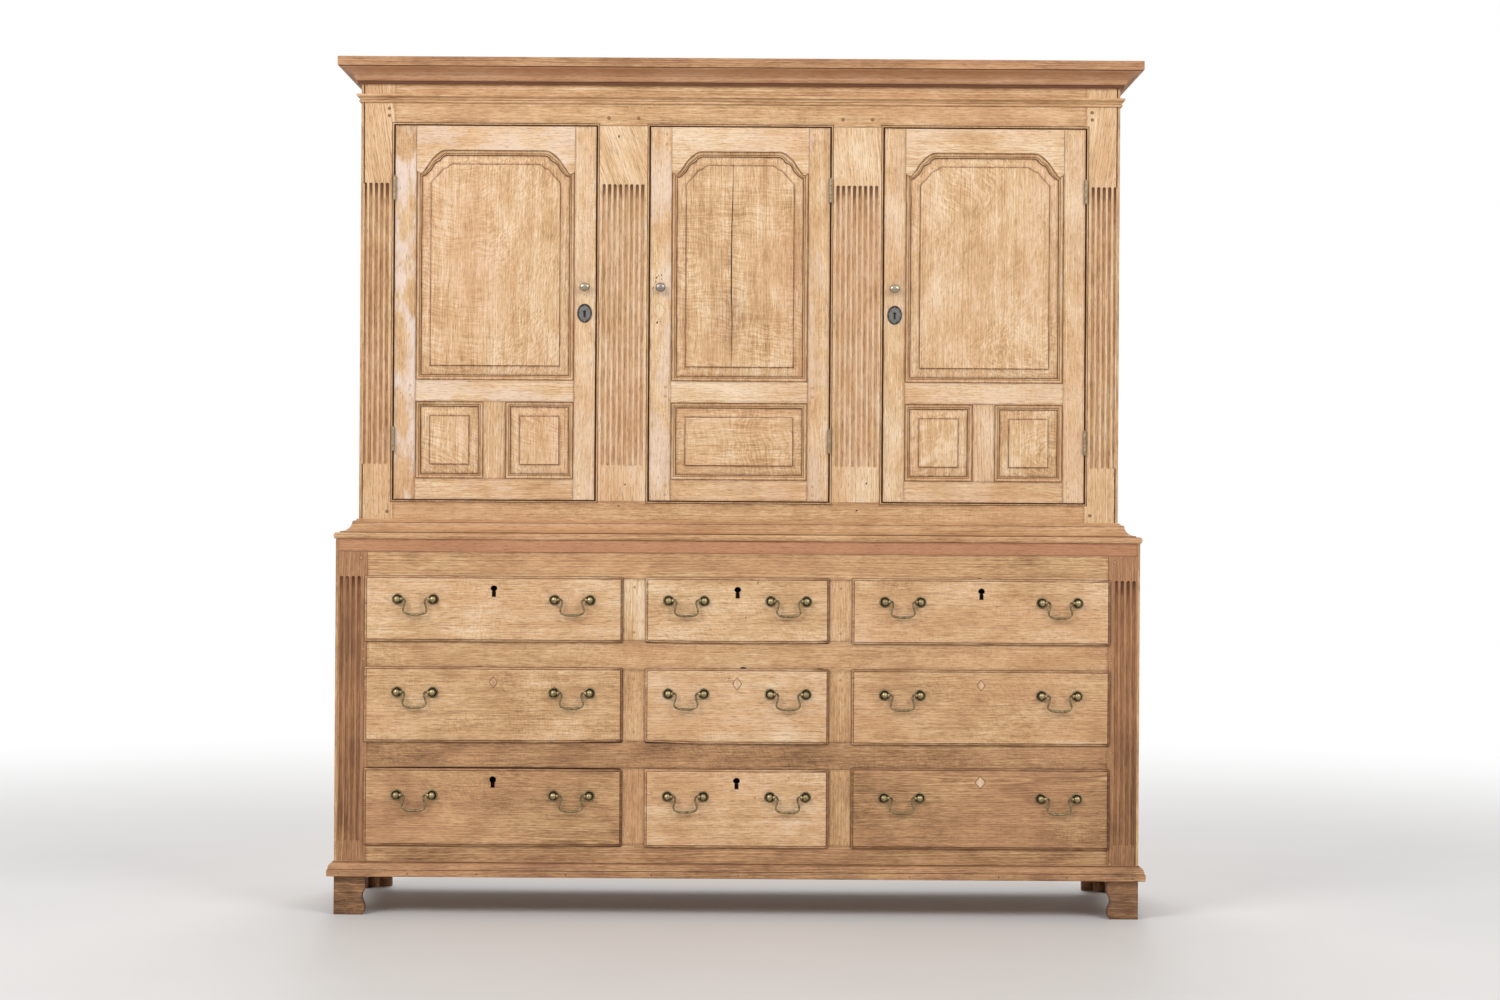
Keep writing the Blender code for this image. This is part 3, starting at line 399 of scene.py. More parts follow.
def barrel(x, y, low, high, radius):
    """An upright rod with eased ends: its rings stand at each height, radius x (cosine, sine) about its axis."""
    ease, steps = 0.4 * MM, 20
    profile = np.array([(0.0, low), (radius - ease, low), (radius, low + ease), (radius, high - ease),
                        (radius - ease, high), (0.0, high)])
    angle = circle(steps)
    rings = np.stack([x + profile[:, :1] * np.cos(angle), y + profile[:, :1] * np.sin(angle),
                      np.broadcast_to(profile[:, 1:], (len(profile), steps))], axis=-1)
    return skin(rings, one_each([0.9, 0.8, 0.35, 0.35, 0.8, 0.9]))


print("lathe and rod ready")

# %% [markdown]
# ## Oak
# Oak is known by three things. Its pores lie along the grain as fine dark dashes. Its yearly rings show as
# lines on a board sawn towards the heart, and as arches on one sawn beside it. Where the cut runs along the rays,
# they catch the light as the pale wavy figure of quartered oak. All three follow from one idea: each point of
# a board knows where it once was in the tree, as a length along the trunk and a place across it. That is the
# vector attribute "grain". A second one, "mark", holds the board's tone, its redness, and its dirt with painted
# shade.


# %% Nodes
class Value:
    """What a node gives. The signs +, - and * add the node that works out the sum, for numbers or vectors."""

    def __init__(self, socket, kind="Math"):
        self.socket, self.kind, self.tree = socket, kind, socket.id_data

    def step(self, operation, *others, **settings):
        """The result of one step of arithmetic that starts from this value."""
        names = (0, "Scale") if operation == "SCALE" else (0, 1, 2)
        inputs = dict(zip(names, (self, *others)))
        return Value(add(self.tree, self.kind, inputs, operation=operation, **settings).outputs[0], self.kind)

    def __add__(self, other):
        return self.step("ADD", other)

    def __sub__(self, other):
        return self.step("SUBTRACT", other)

    def __mul__(self, other):
        scaled = self.kind == "VectorMath" and isinstance(other, float)
        return self.step("SCALE" if scaled else "MULTIPLY", other)


def add(tree, kind, inputs=None, **settings):
    """A node with its settings; each input is a plain value or what another node gives."""
    node = tree.nodes.new("ShaderNode" + kind)
    for name, value in settings.items():
        setattr(node, name, value)
    for name, value in (inputs or {}).items():
        value = getattr(value, "socket", value)
        if isinstance(value, bpy.types.NodeSocket):
            tree.links.new(value, node.inputs[name])
        else:
            node.inputs[name].default_value = value
    return node


def attribute(tree, name):
    """A vector that each point of a mesh carries."""
    return Value(add(tree, "Attribute", attribute_name=name).outputs["Vector"], "VectorMath")


def object_place(tree):
    """Each point's place in Object coordinates."""
    return Value(add(tree, "TexCoord").outputs["Object"], "VectorMath")


def separate(value):
    """The three numbers of a vector."""
    return [Value(socket) for socket in add(value.tree, "SeparateXYZ", {0: value}).outputs]


def noise(place, scale=1.0, detail=2.0, roughness=0.5, result="Fac", dimensions="3D"):
    """Noise at a place, from 0 to 1, or three of them as a colour."""
    inputs = {"W" if dimensions == "1D" else "Vector": place, "Scale": scale, "Detail": detail,
              "Roughness": roughness}
    node = add(place.tree, "TexNoise", inputs, noise_dimensions=dimensions)
    return Value(node.outputs[result], "Math" if result == "Fac" else "VectorMath")


def ramp(value, low, high, start=0.0, end=1.0):
    """A smooth step: start below low, end above high."""
    inputs = {"Value": value, "From Min": low, "From Max": high, "To Min": start, "To Max": end}
    return Value(add(value.tree, "MapRange", inputs, interpolation_type="SMOOTHSTEP").outputs[0])


def blended(share, first, second, blend="MIX"):
    """A mix of two colours."""
    node = add(share.tree, "Mix", {0: share, 6: first, 7: second}, data_type="RGBA", blend_type=blend)
    return Value(node.outputs[2])


def new_material(name):
    """A material whose node tree is still empty."""
    material = bpy.data.materials.new(name)
    material.use_nodes = True
    material.node_tree.nodes.clear()
    return material, material.node_tree


def surface(tree, height, strength, distance, **inputs):
    """The shader at the end of a material, with a bump of a height."""
    bump = add(tree, "Bump", {"Height": height, "Strength": strength, "Distance": distance}).outputs[0]
    inputs = {name.replace("_", " "): value for name, value in inputs.items()}
    shader = add(tree, "BsdfPrincipled", {"Normal": bump, **inputs})
    add(tree, "OutputMaterial", {"Surface": shader.outputs[0]})


print("helpers ready")

# %% [markdown]
# The tone runs from old waxed brown to oak that has been stripped and bleached. Rings, fibres and figure
# move a point up and down that one scale, so they stay in keeping with the board that they are on.

# %% The oak material
OAK_TONES = (
    (0.00, (0.080, 0.036, 0.015)), (0.20, (0.205, 0.100, 0.043)), (0.40, (0.385, 0.205, 0.092)),
    (0.60, (0.560, 0.330, 0.158)), (0.80, (0.715, 0.470, 0.258)), (1.00, (0.840, 0.650, 0.455)),
)
WARM_OAK = (0.640, 0.330, 0.170, 1.0)
RED_OAK = (0.470, 0.205, 0.105, 1.0)
BLEACHED = (0.775, 0.620, 0.520, 1.0)
PORE_DARK = (0.170, 0.083, 0.038, 1.0)
# The wax stain and the black wax also paint the shade of hollows, joints, gaps and keyholes
WAX_STAIN_AND_SHADE = (0.400, 0.260, 0.170, 1.0)
BLACK_WAX_AND_SHADE = (0.050, 0.020, 0.009, 1.0)
HALF = (0.5, 0.5, 0.5)


def oak(name, from_attributes=True, tone=0.55, polish=0.5, contrast=1.0, figure=1.0, fibre=1.0,
        ray=(40.0, 240.0, 200.0), curl=0.026, pore=0.42):
    """Oak whose figure is worked out from each point's place in the tree.

    Tone = the board's own + the sum of (noise - 1/2) x its amount, and that tone picks the colour.
    """
    material, tree = new_material(name)
    if from_attributes:
        grain, mark = attribute(tree, "grain"), attribute(tree, "mark")
    else:
        moved = add(tree, "Mapping", {"Vector": object_place(tree), "Location": (0.3, 0.35, 0.02)})
        grain = Value(moved.outputs[0], "VectorMath")
        mark = Value(add(tree, "CombineXYZ", {0: tone, 1: 0.0, 2: 0.12}).outputs[0])
    own_tone, red, dirt_and_shade = separate(mark)

    def stretched(by, at=grain, **settings):
        """Noise that is drawn out along the grain."""
        return noise(at * by, **settings)

    sway = stretched((2.2, 7.0, 7.0), detail=3.0, result="Color") - HALF
    swayed = grain + sway * (0.02, 0.018, 0.018)
    across, deep = (part.step("POWER", 2.0) for part in separate(swayed)[1:])
    squared = across + deep
    quartered = across.step("DIVIDE", squared + 0.0001)
    from_heart = squared.step("SQRT")
    years, broad = (noise(from_heart, scale=scale, detail=4.0, dimensions="1D") for scale in (380.0, 60.0))
    fibres = stretched((38.0, 600.0, 600.0), swayed, detail=4.0, roughness=0.68)
    lines = stretched((14.0, 250.0, 250.0), swayed, detail=3.0, roughness=0.6)
    streaks = stretched((4.0, 80.0, 80.0), swayed, detail=3.0)
    mottle = stretched((7.0, 14.0, 14.0), detail=5.0, roughness=0.62)
    pores = ramp(stretched((52.0, 640.0, 640.0), detail=1.0) - years * 0.35, 0.41, 0.52)

    # Rays: noise in long thin flecks, turned across the grain, and curled
    bend = stretched((0.55 * ray[0], 0.75 * ray[0], 0.75 * ray[0]), detail=2.0, result="Color") - HALF
    turn = ramp(stretched((1.5, 0.6, 0.6), detail=0.0), 0.35, 0.65, 1.0, 1.5)
    rotated = add(tree, "VectorRotate", {"Vector": grain + bend * curl, "Angle": turn}, rotation_type="Z_AXIS")
    flecks = stretched(ray, Value(rotated.outputs[0], "VectorMath"), detail=3.0, roughness=0.55)
    clusters = stretched((6.0, 11.0, 11.0), detail=2.0)
    flecks = (ramp(flecks, 0.42, 0.58, -0.7, 1.0) * ramp(clusters, 0.32, 0.62, 0.2, 1.0)
              * ramp(quartered, 0.45, 0.95, 0.12, 1.0))

    rings = quartered.step("MULTIPLY_ADD", -0.65, 0.95)
    level = own_tone
    for value, amount in ((years, rings * contrast), (broad, 0.20 * contrast),
                          (fibres, 0.85 * contrast * fibre), (lines, 0.36 * contrast * fibre),
                          (streaks, 0.18 * contrast), (mottle, 0.78 * contrast)):
        level = level + (value - 0.5) * amount
    colours = add(tree, "ValToRGB", {0: level + flecks * (0.19 * contrast * figure)})
    stops = colours.color_ramp.elements
    while len(stops) < len(OAK_TONES):
        stops.new(0.5)
    for stop, (position, colour) in zip(stops, OAK_TONES):
        stop.position, stop.color = position, (*colour, 1.0)
    warm = ramp(stretched((1.7, 5.0, 5.0), detail=3.0), 0.42, 0.66, 0.0, 0.28)
    colour = blended(red, blended(warm, colours.outputs[0], WARM_OAK), RED_OAK)
    pale = ramp(stretched((7.0, 16.0, 16.0), detail=5.0, roughness=0.6), 0.44, 0.58)
    colour = blended(pale.step("MULTIPLY", red * -1.0, use_clamp=True), colour, BLEACHED)
    colour = blended(pores * pore, colour, PORE_DARK)

    # A few worm holes, then grime with painted shade: it stains the wood where it is thin, and where it is thick it
    # paints black, for wax in knocks and for shade in gaps, keyholes and shadow lines
    holes = add(tree, "TexVoronoi", {"Vector": grain, "Scale": 26.0, "Randomness": 1.0}).outputs
    few = ramp(separate(Value(holes["Color"]))[0], 0.80, 0.81)
    worm = ramp(Value(holes["Distance"]), 0.020, 0.030, 1.0, 0.0) * few
    grime_and_shade = dirt_and_shade + (stretched((24.0, 110.0, 110.0), detail=4.0, roughness=0.62) - 0.5) * 0.6
    grime_and_shade = (ramp(grime_and_shade, 0.15, 0.85) * ramp(dirt_and_shade, 0.0, 0.10)).step("MAXIMUM", worm * 0.85)
    colour = blended(grime_and_shade, colour, WAX_STAIN_AND_SHADE, "MULTIPLY")
    colour = blended(grime_and_shade.step("POWER", 3.0) * ramp(dirt_and_shade, 1.1, 1.6, 0.50, 0.97), colour, BLACK_WAX_AND_SHADE)

    height = fibres * 0.5
    for value, amount in ((pores, -0.8), (flecks, 0.05), (mottle, 0.8), (worm, -3.0)):
        height = value.step("MULTIPLY_ADD", amount, height)
    surface(tree, height, 0.55, 0.0005, Base_Color=colour, Roughness=fibres * 0.20 + polish - flecks * 0.10,
            Specular_IOR_Level=0.35)
    return material


FINE_RAYS = {"ray": (55.0, 300.0, 260.0), "curl": 0.018}
PALE_OAK = oak("stripped_oak", polish=0.46, contrast=1.05, figure=0.24, fibre=1.1, pore=0.40, **FINE_RAYS)
FIGURED_OAK = oak("figured_oak", polish=0.46, contrast=1.12, figure=0.55, fibre=1.1, ray=(17.0, 230.0, 95.0),
                  curl=0.045)
COARSE_OAK = oak("coarse_oak", polish=0.46, contrast=1.0, figure=0.2, fibre=0.85, pore=0.50)
BROWN_OAK = oak("waxed_oak", polish=0.40, contrast=1.05, figure=0.32, fibre=1.15, pore=0.45, **FINE_RAYS)
INNER_OAK = oak("bare_inner_oak", polish=0.62, figure=0.35, fibre=0.9)
INNER_BOARDS = oak("bare_inner_boards", from_attributes=False, tone=0.50, polish=0.62, figure=0.35)
print("oak takes", len(PALE_OAK.node_tree.nodes), "nodes")

# %% [markdown]
# The brass is old and uncleaned: dark brown in its hollows, worn to a pale yellow-grey on what a hand
# touches. The hinges are iron, the oval escutcheons dark bronze.


# %% Metals
def metal(name, bright, tarnish, roughness, metallic):
    """Metal that is bright where the attribute "mark" holds no dirt, and tarnished in patches elsewhere."""
    material, tree = new_material(name)
    place = object_place(tree)
    dirt_and_shade = separate(attribute(tree, "mark"))[2]
    patches = noise(place, scale=110.0, detail=4.0, roughness=0.55)
    cover = ramp(dirt_and_shade + (patches - 0.5) * 0.9, 0.0, 0.85)
    surface(tree, noise(place, scale=1400.0, detail=3.0) + patches, 0.35, 0.00015,
            Base_Color=blended(cover, (*bright, 1.0), (*tarnish, 1.0)), Roughness=cover * 0.28 + roughness,
            Metallic=metallic)
    return material


BRASS = metal("aged_brass", (0.50, 0.40, 0.21), (0.052, 0.037, 0.019), 0.25, 0.9)
GREY_BRASS = metal("greyed_brass", (0.37, 0.33, 0.24), (0.08, 0.062, 0.040), 0.26, 0.8)
PEWTER = metal("worn_pewter", (0.31, 0.26, 0.24), (0.10, 0.066, 0.050), 0.28, 0.8)
BRONZE = metal("dark_bronze", (0.215, 0.205, 0.195), (0.026, 0.022, 0.018), 0.35, 0.7)
IRON = metal("old_iron", (0.46, 0.36, 0.23), (0.085, 0.052, 0.030), 0.42, 0.6)

# %% [markdown]
# ## From shape to piece
# Each shape becomes one object that rides on the body of the plain solid that it stands for.
# A board is given its own tree: its grain runs along one axis, and the heart lies beside it for quartered oak, or
# below it for a plain-sawn board.

# %% Making a piece
HEARTS = {"quartered": (0.30, 0.0), "plain": (0.0, 0.045), "slant": (0.10, 0.09), "arched": (0.085, 0.03)}
MOST_TURN, TRUNK_SHIFT = 1.2, 20
made = []


def set_vectors(mesh, name, values):
    """Writes one vector for each vertex into a named attribute."""
    layer = mesh.attributes.new(name, "FLOAT_VECTOR", "POINT")
    layer.data.foreach_set("vector", np.ascontiguousarray(values, np.float32).ravel())


def piece(name, shape, node, material, along="x", flat="y", tone=0.7, red=0.0, sawn="quartered", sharp=32.0,
          lean=0.0, lean_from=math.inf):
    """A named object from a shape, with its grain and marks, that stands for a node and rides on its body.

    Grain = (place along the board, place across it + the heart's distance, depth in it + the heart's depth),
    turned a degree or so. Redness below 0 is bleached instead. Where a knot bends the grain, across grows by
    tangent of the lean x the height above the place where the bend starts.
    """
    random = seed(name)
    mesh = bpy.data.meshes.new(name)
    mesh.from_pydata(shape.points.tolist(), [], shape.faces)
    long_axis, deep_axis = "xyz".index(along), "xyz".index(flat)
    wide_axis = 3 - long_axis - deep_axis
    middle = (shape.points.min(axis=0) + shape.points.max(axis=0)) / 2
    local = (shape.points - middle)[:, [long_axis, wide_axis, deep_axis]]
    local[:, 1] += math.tan(math.radians(lean)) * np.maximum(0, shape.points[:, long_axis] - lean_from)
    angle = math.radians(random.uniform(-MOST_TURN, MOST_TURN))
    turn = np.array([(math.cos(angle), math.sin(angle), 0), (-math.sin(angle), math.cos(angle), 0), (0, 0, 1)])
    heart = np.array(HEARTS[sawn]) * random.uniform(0.85, 1.15, 2)
    shift = (random.uniform(-TRUNK_SHIFT, TRUNK_SHIFT), heart[0] * random.choice((-1, 1)), heart[1])
    set_vectors(mesh, "grain", local @ turn.T + shift)
    own = tone + random.uniform(-0.02, 0.02)
    marks = np.stack([np.full(len(local), own), np.full(len(local), red), shape.dirt_and_shade], axis=1)
    set_vectors(mesh, "mark", marks)
    bm = bmesh.new()
    bm.from_mesh(mesh)
    bmesh.ops.remove_doubles(bm, verts=bm.verts, dist=0.001 * MM)
    bmesh.ops.recalc_face_normals(bm, faces=bm.faces)
    bm.to_mesh(mesh)
    bm.free()
    mesh.shade_smooth()
    mesh.set_sharp_from_angle(angle=math.radians(sharp))
    mesh.materials.append(material)
    thing = bpy.data.objects.new(name, mesh)
    bpy.context.scene.collection.objects.link(thing)
    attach(thing, frame["nodes"][node]["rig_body"])
    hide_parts(node)
    made.append(thing)


CUTS = ("facing", "ease", "step", "foot", "wave", "reach", "edge_dirt")


def board(name, key, outline, face, back, node, material, **options):
    """A plate made into a piece: the options that say how it is cut go to the plate, the rest to the piece."""
    cuts = {option: options.pop(option) for option in CUTS if option in options}
    piece(name, plate(key, outline, face, back, **cuts), node, material, **options)


print("a piece can be sawn", ", ".join(HEARTS))

# %% [markdown]
# ## Fluted posts
# A scratch stock cuts each flute as a round-bottomed channel with round ends. Any point of the face asks how far it
# is from the flute's middle line, and the nearer it is, the deeper it lies, as on the side of a lying rod.

# %% Fluted boards
FLUTE_RADIUS, FLUTE_DEPTH, FLUTE_FULL = 4.5 * MM, 0.85, 3.0 * MM
EDGE_MARGINS, EDGE_SUNK = np.array([0, 0.25, 0.8, 3.0]) * MM, np.array([0.5, 0.15, 0, 0]) * MM
EDGE_DIRT = (0.35, 0.2, 0.1, 0.05)
# Dirt with painted shade in the flute channels, strongest under the flutes' top ends
FLUTE_SWAY, RIDGE_WEAR, HEAD_DIRT_AND_SHADE, HEAD_FADE = 0.25 * MM, 0.25 * MM, 0.75, 22 * MM


def fluted(key, edges, ends, front, centre, count, pitch, flutes, channel_dirt_and_shade, notch=(0.0, 0.0), notched=None):
    """A board with a row of flutes: rings run up it, and each ring is the board's section at that height.

    Depth = 0.85 x square root of (radius squared - distance squared), where the distance is measured to a
    flute's middle line, which stops one radius short of each end. A notch moves the edges in between two heights.
    Dirt with painted shade = channel dirt x share of the full depth, and more of it near the flutes' top ends.
    """
    random = seed(key)
    (left, right), (bottom, top), (foot, head) = edges, ends, flutes
    middles = centre - pitch * (count - 1) / 2 + pitch * np.arange(count)
    angle = np.radians(np.linspace(90, -90, 13))
    columns = np.unique(np.append(middles[:, None] + FLUTE_RADIUS * np.sin(angle), middles[:-1] + pitch / 2))
    ends = FLUTE_RADIUS * (1 - np.cos(np.radians(np.linspace(0, 90, 7))))
    heights = np.concatenate([
        [bottom, bottom + 0.5 * MM], np.linspace(bottom + 8 * MM, foot - 2 * MM, 4), foot + ends,
        np.linspace(foot + 2 * FLUTE_RADIUS, head - 2 * FLUTE_RADIUS, 24), head - ends[::-1],
        np.linspace(head + 2 * MM, top - 8 * MM, 4), [top - 0.5 * MM, top]])
    inside = np.ones(len(heights), bool)
    if notched:
        heights = np.sort(np.concatenate([heights, *[(z - 0.01 * MM, z + 0.01 * MM) for z in notched]]))
        inside = (heights > notched[0]) & (heights < notched[1])
    rows = len(heights)
    sway = FLUTE_SWAY * wandering(rows, random)[:, None]
    x = columns + sway * (heights > foot)[:, None] * (heights < head)[:, None]
    beyond = np.maximum(0, np.maximum(foot + FLUTE_RADIUS - heights, heights - head + FLUTE_RADIUS))[:, None]
    nearest = np.abs(x[..., None] - sway[..., None] - middles).min(axis=-1)
    squared = FLUTE_RADIUS ** 2 - nearest ** 2 - beyond ** 2
    depth = FLUTE_DEPTH * np.sqrt(np.maximum(0, squared)) * (beyond < FLUTE_RADIUS)
    worn_ridge = RIDGE_WEAR * (0.5 + 0.5 * wandering(rows, random)[:, None])
    depth += worn_ridge * (depth < 0.1 * MM) * (beyond < FLUTE_RADIUS / 2)
    low_edge = left + notch[0] * inside[:, None]
    high_edge = right - notch[1] * inside[:, None]
    x = np.concatenate([low_edge + EDGE_MARGINS, x, high_edge - EDGE_MARGINS[::-1]], axis=1)
    sunk = np.broadcast_to(EDGE_SUNK, (rows, 4))
    y = np.concatenate([sunk, depth, sunk[:, ::-1]], axis=1)
    nearest_flute = np.abs(np.pad(columns, 4, "edge")[:, None] - middles).argmin(axis=1)
    uneven = 0.5 + 0.5 * random.random(count)[nearest_flute]
    under_head = np.exp(-np.clip(head - heights, 0, None) / HEAD_FADE)[:, None]
    dirt_and_shade = (channel_dirt_and_shade + HEAD_DIRT_AND_SHADE * uneven * under_head) * np.clip(y / FLUTE_FULL, 0, 1)
    dirt_and_shade[:, :4], dirt_and_shade[:, -4:] = EDGE_DIRT, EDGE_DIRT[::-1]
    x = np.concatenate([x, high_edge, low_edge], axis=1)
    y = np.concatenate([front + y, np.full((rows, 2), front + FRAME_THICK)], axis=1)
    dirt_and_shade = np.concatenate([dirt_and_shade, np.full((rows, 2), 0.3)], axis=1)
    return skin(np.stack([x, y, np.broadcast_to(heights[:, None], x.shape)], axis=-1), dirt_and_shade)


print("flutes are", 2 * FLUTE_RADIUS / MM, "mm wide")

# %% [markdown]
# ## The chest's frame
# Two posts stand at the corners, four rails run between them, and short muntins stand between the
# rails. A hair's gap is left at each shoulder, because the joint shows as a dark line on the real one.

# %% The chest's face frame
CORNER_SETBACK = SIDE_EDGE + 0.05 * MM
POST_INNER, POST_MIDDLE, POST_PITCH, POST_FLUTES = 0.921, 0.9635, 14.5 * MM, (0.182, 0.842)
RAILS = {"foot": (FOOT_TOP, 0.178, 0.42), "lower": (0.3675, 0.436, 0.39), "upper": (0.612, 0.686, 0.60),
         "frieze": (0.838, BAND_FLOOR, 0.58)}
MUNTIN_TONES = {"bottom": (0.54, 0.54), "middle": (0.60, 0.60), "top": (0.82, 0.70)}
for side, sign in SIDES.items():
    edges = sorted((sign * (POST_INNER + JOINT), sign * (CHEST_HALF - CORNER_SETBACK)))
    post = fluted(f"post_{side}", edges, (FOOT_TOP, BAND_FLOOR), CHEST_FRONT, sign * POST_MIDDLE, 4, POST_PITCH,
                  POST_FLUTES, 0.40)
    piece(f"chest_post_{side}", post, "base_face_frame", COARSE_OAK, along="z", tone=0.26, red=0.15, sawn="slant")
for rail, (low, high, tone) in RAILS.items():
    board(f"chest_rail_{rail}", rail, rectangle(-POST_INNER + JOINT, POST_INNER - JOINT, low, high), CHEST_FRONT,
          CHEST_FRAME_BACK, "base_face_frame", BROWN_OAK, tone=tone,
          sawn="slant" if rail in ("frieze", "foot") else "quartered")
for row, (low, high) in ROWS.items():
    for (side, sign), tone in zip(SIDES.items(), MUNTIN_TONES[row]):
        edges = sorted((sign * COLUMNS["middle"][1], sign * COLUMNS["right"][0]))
        board(f"chest_muntin_{row}_{side}", row + side, rectangle(*edges, low + JOINT, high - JOINT), CHEST_FRONT,
              CHEST_FRAME_BACK, "base_face_frame", BROWN_OAK, along="z", tone=tone,
              sawn="slant" if (row, side) == ("top", "left") else "quartered")
print("the chest's frame has", len(made), "pieces")

# %% [markdown]
# ## The press's frame
# The outer stiles run from the waist to the cornice with the rails between them. A flush bead with a quirk is
# worked round each doorway, so each board stops short of the doorway by the bead's width.

# %% The press's face frame
BEAD = 6 * MM
STILE_INNER, STILE_MIDDLE, STILE_PITCH = 0.8664, 0.9112, 13.8 * MM
PIER, PIER_MIDDLE, PIER_LEANS = (0.227, 0.3586), 0.2928, {"left": 20, "right": 4}
PRESS_FLUTES = (1.120, 1.826)
HEAD_RAIL = DOOR_HEAD + BEAD
SILL_RAIL = DOOR_FLOOR - BEAD
for side, sign in SIDES.items():
    edges = sorted((sign * (STILE_INNER + JOINT), sign * (PRESS_HALF - CORNER_SETBACK)))
    notch = (0.0, BEAD) if side == "left" else (BEAD, 0.0)
    shape = fluted(f"stile_{side}", edges, (PRESS_FLOOR, PRESS_TOP), PRESS_FRONT, sign * STILE_MIDDLE, 5,
                   STILE_PITCH, PRESS_FLUTES, 0.50, notch, (SILL_RAIL, HEAD_RAIL))
    piece(f"press_stile_{side}", shape, "upper_face_frame", COARSE_OAK, along="z", tone=0.77, sawn="slant",
          lean=-sign * 8, lean_from=PRESS_FLUTES[1])
    edges = sorted((sign * (PIER[0] + BEAD), sign * (PIER[1] - BEAD)))
    shape = fluted(f"pier_{side}", edges, (DOOR_FLOOR + JOINT, DOOR_HEAD - JOINT), PRESS_FRONT,
                   sign * PIER_MIDDLE, 8, STILE_PITCH, PRESS_FLUTES, 0.44)
    piece(f"press_pilaster_{side}", shape, "upper_face_frame", COARSE_OAK, along="z", tone=0.83, sawn="slant",
          lean=PIER_LEANS[side], lean_from=PRESS_FLUTES[1])


def rail_outline(level, tongue, far):
    """The long edge of a press rail, which steps towards the doors at each pilaster, and its straight far edge."""
    inner, outer = PIER[0] + BEAD, PIER[1] - BEAD
    edge = [(-STILE_INNER, level), (-outer, level), (-outer, tongue), (-inner, tongue), (-inner, level)]
    edge += [(-x, z) for x, z in reversed(edge)]
    outline = np.array(edge + [(STILE_INNER, far), (-STILE_INNER, far)])
    return outline if far > level else outline[::-1]


board("press_rail_head", "head_rail", rail_outline(HEAD_RAIL, DOOR_HEAD, PRESS_TOP), PRESS_FRONT,
      PRESS_FRAME_BACK, "upper_face_frame", PALE_OAK, tone=0.64, sawn="slant")
board("press_rail_sill", "sill_rail", rail_outline(SILL_RAIL, DOOR_FLOOR, PRESS_FLOOR), PRESS_FRONT,
      PRESS_FRAME_BACK, "upper_face_frame", PALE_OAK, tone=0.62)
bead_section = np.concatenate([
    [(0, 22)], arc((2.5, 2.2), (2.5, 2.2), 180, 360, 10), [(5.1, 2.4), (5.7, 2.4), (5.8, 3.5), (5.8, 22)],
]) * (-MM, MM)
# Painted shade: the quirk and the half of the bead beside the door are dark as the shaded gap round the door
bead_dirt_and_shade = [1.6, 1.6, 1.5, 1.3, 1.0, 0.6, 0.3, 0.1, 0.05, 0.2, 0.5, 0.9, 1.6, 1.6, 1.3, 1.5]
for place, (left, right) in DOORWAYS.items():
    doorway = divided(rectangle(left, right, DOOR_FLOOR, DOOR_HEAD))
    piece(f"doorway_bead_{place}", framed(doorway, bead_section, bead_dirt_and_shade, inset), "upper_face_frame", PALE_OAK,
          along="z", tone=0.62)
print("with the press's frame", len(made), "pieces")

# %% [markdown]
# ## Mouldings round the case
# Four mouldings turn the front corners: the base moulding, the waist that holds the press in place, the
# astragal on the frieze, and the cornice. Each section is drawn once, as points out from the case and up, with
# arcs for its coves and rounds.

# %% Sections of the mouldings
base_section = np.concatenate([
    [(0.3, 0.5), (15.4, 0.5), (16.4, 1.5), (16.6, 15.0), (16.0, 16.4), (14.6, 16.8), (14.2, 18.2)],
    arc((2.6, 18.4), (11.4, 15.6), 8, 82, 12), [(3.6, 34.6), (2.4, 35.2), (1.8, 37.6), (0.3, 38.0)],
]) * MM
waist_section = np.concatenate([
    [(0.3, 0.0)], arc((50.2, 7.8), (4.6, 7.8), -90, 90, 14),
    [(45.5, 15.6), (41.4, 15.7), (41.0, 18.6), (39.6, 19.0)], arc((39.6, 41.5), (24.6, 22.4), -90, -176, 14),
    [(14.2, 41.2), (14.0, 43.8), (12.6, 44.4)], arc((13.0, 55.2), (10.8, 10.6), -95, -150, 6), [(0.3, 50.2)],
]) * MM
astragal_section = np.concatenate([
    [(0.3, 0.0), (2.4, 0.0)], arc((2.6, 3.4), (2.6, 3.3), -85, 80, 8), [(2.9, 6.9), (3.4, 8.0)],
    arc((10.8, 7.6), (7.4, 7.6), 170, 95, 8), [(10.6, 15.6), (11.2, 16.2), (11.3, 20.4), (10.8, 21.0), (0.3, 21.0)],
]) * MM
cornice_section = np.concatenate([
    [(0.3, 1.0), (0.3, -40.0), (5.0, -40.0), (8.0, -39.4), (8.2, -33.4)], arc((9.0, -19.0), (7.6, 13.6), -86, 0, 6),
    through([(17.2, -17.6), (22, -12.6), (30, -8.4), (38, -5.6)]), arc((38.6, 0.4), (11.0, 6.0), -80, -4, 8),
    [(49.8, 1.0)],
]) * MM
cove_dirt_and_shade = hollow_dirt_and_shade(cornice_section)
# Painted shadow lines: the points at the cove's foot and under the fascia are raised into the black
cove_dirt_and_shade[[2, 3, 4, 5, -4, -3, -2, -1]] = 0.5, 0.9, 1.3, 0.4, 0.5, 1.0, 1.4, 1.4
print("section points:", [len(s) for s in (base_section, waist_section, astragal_section, cornice_section)])

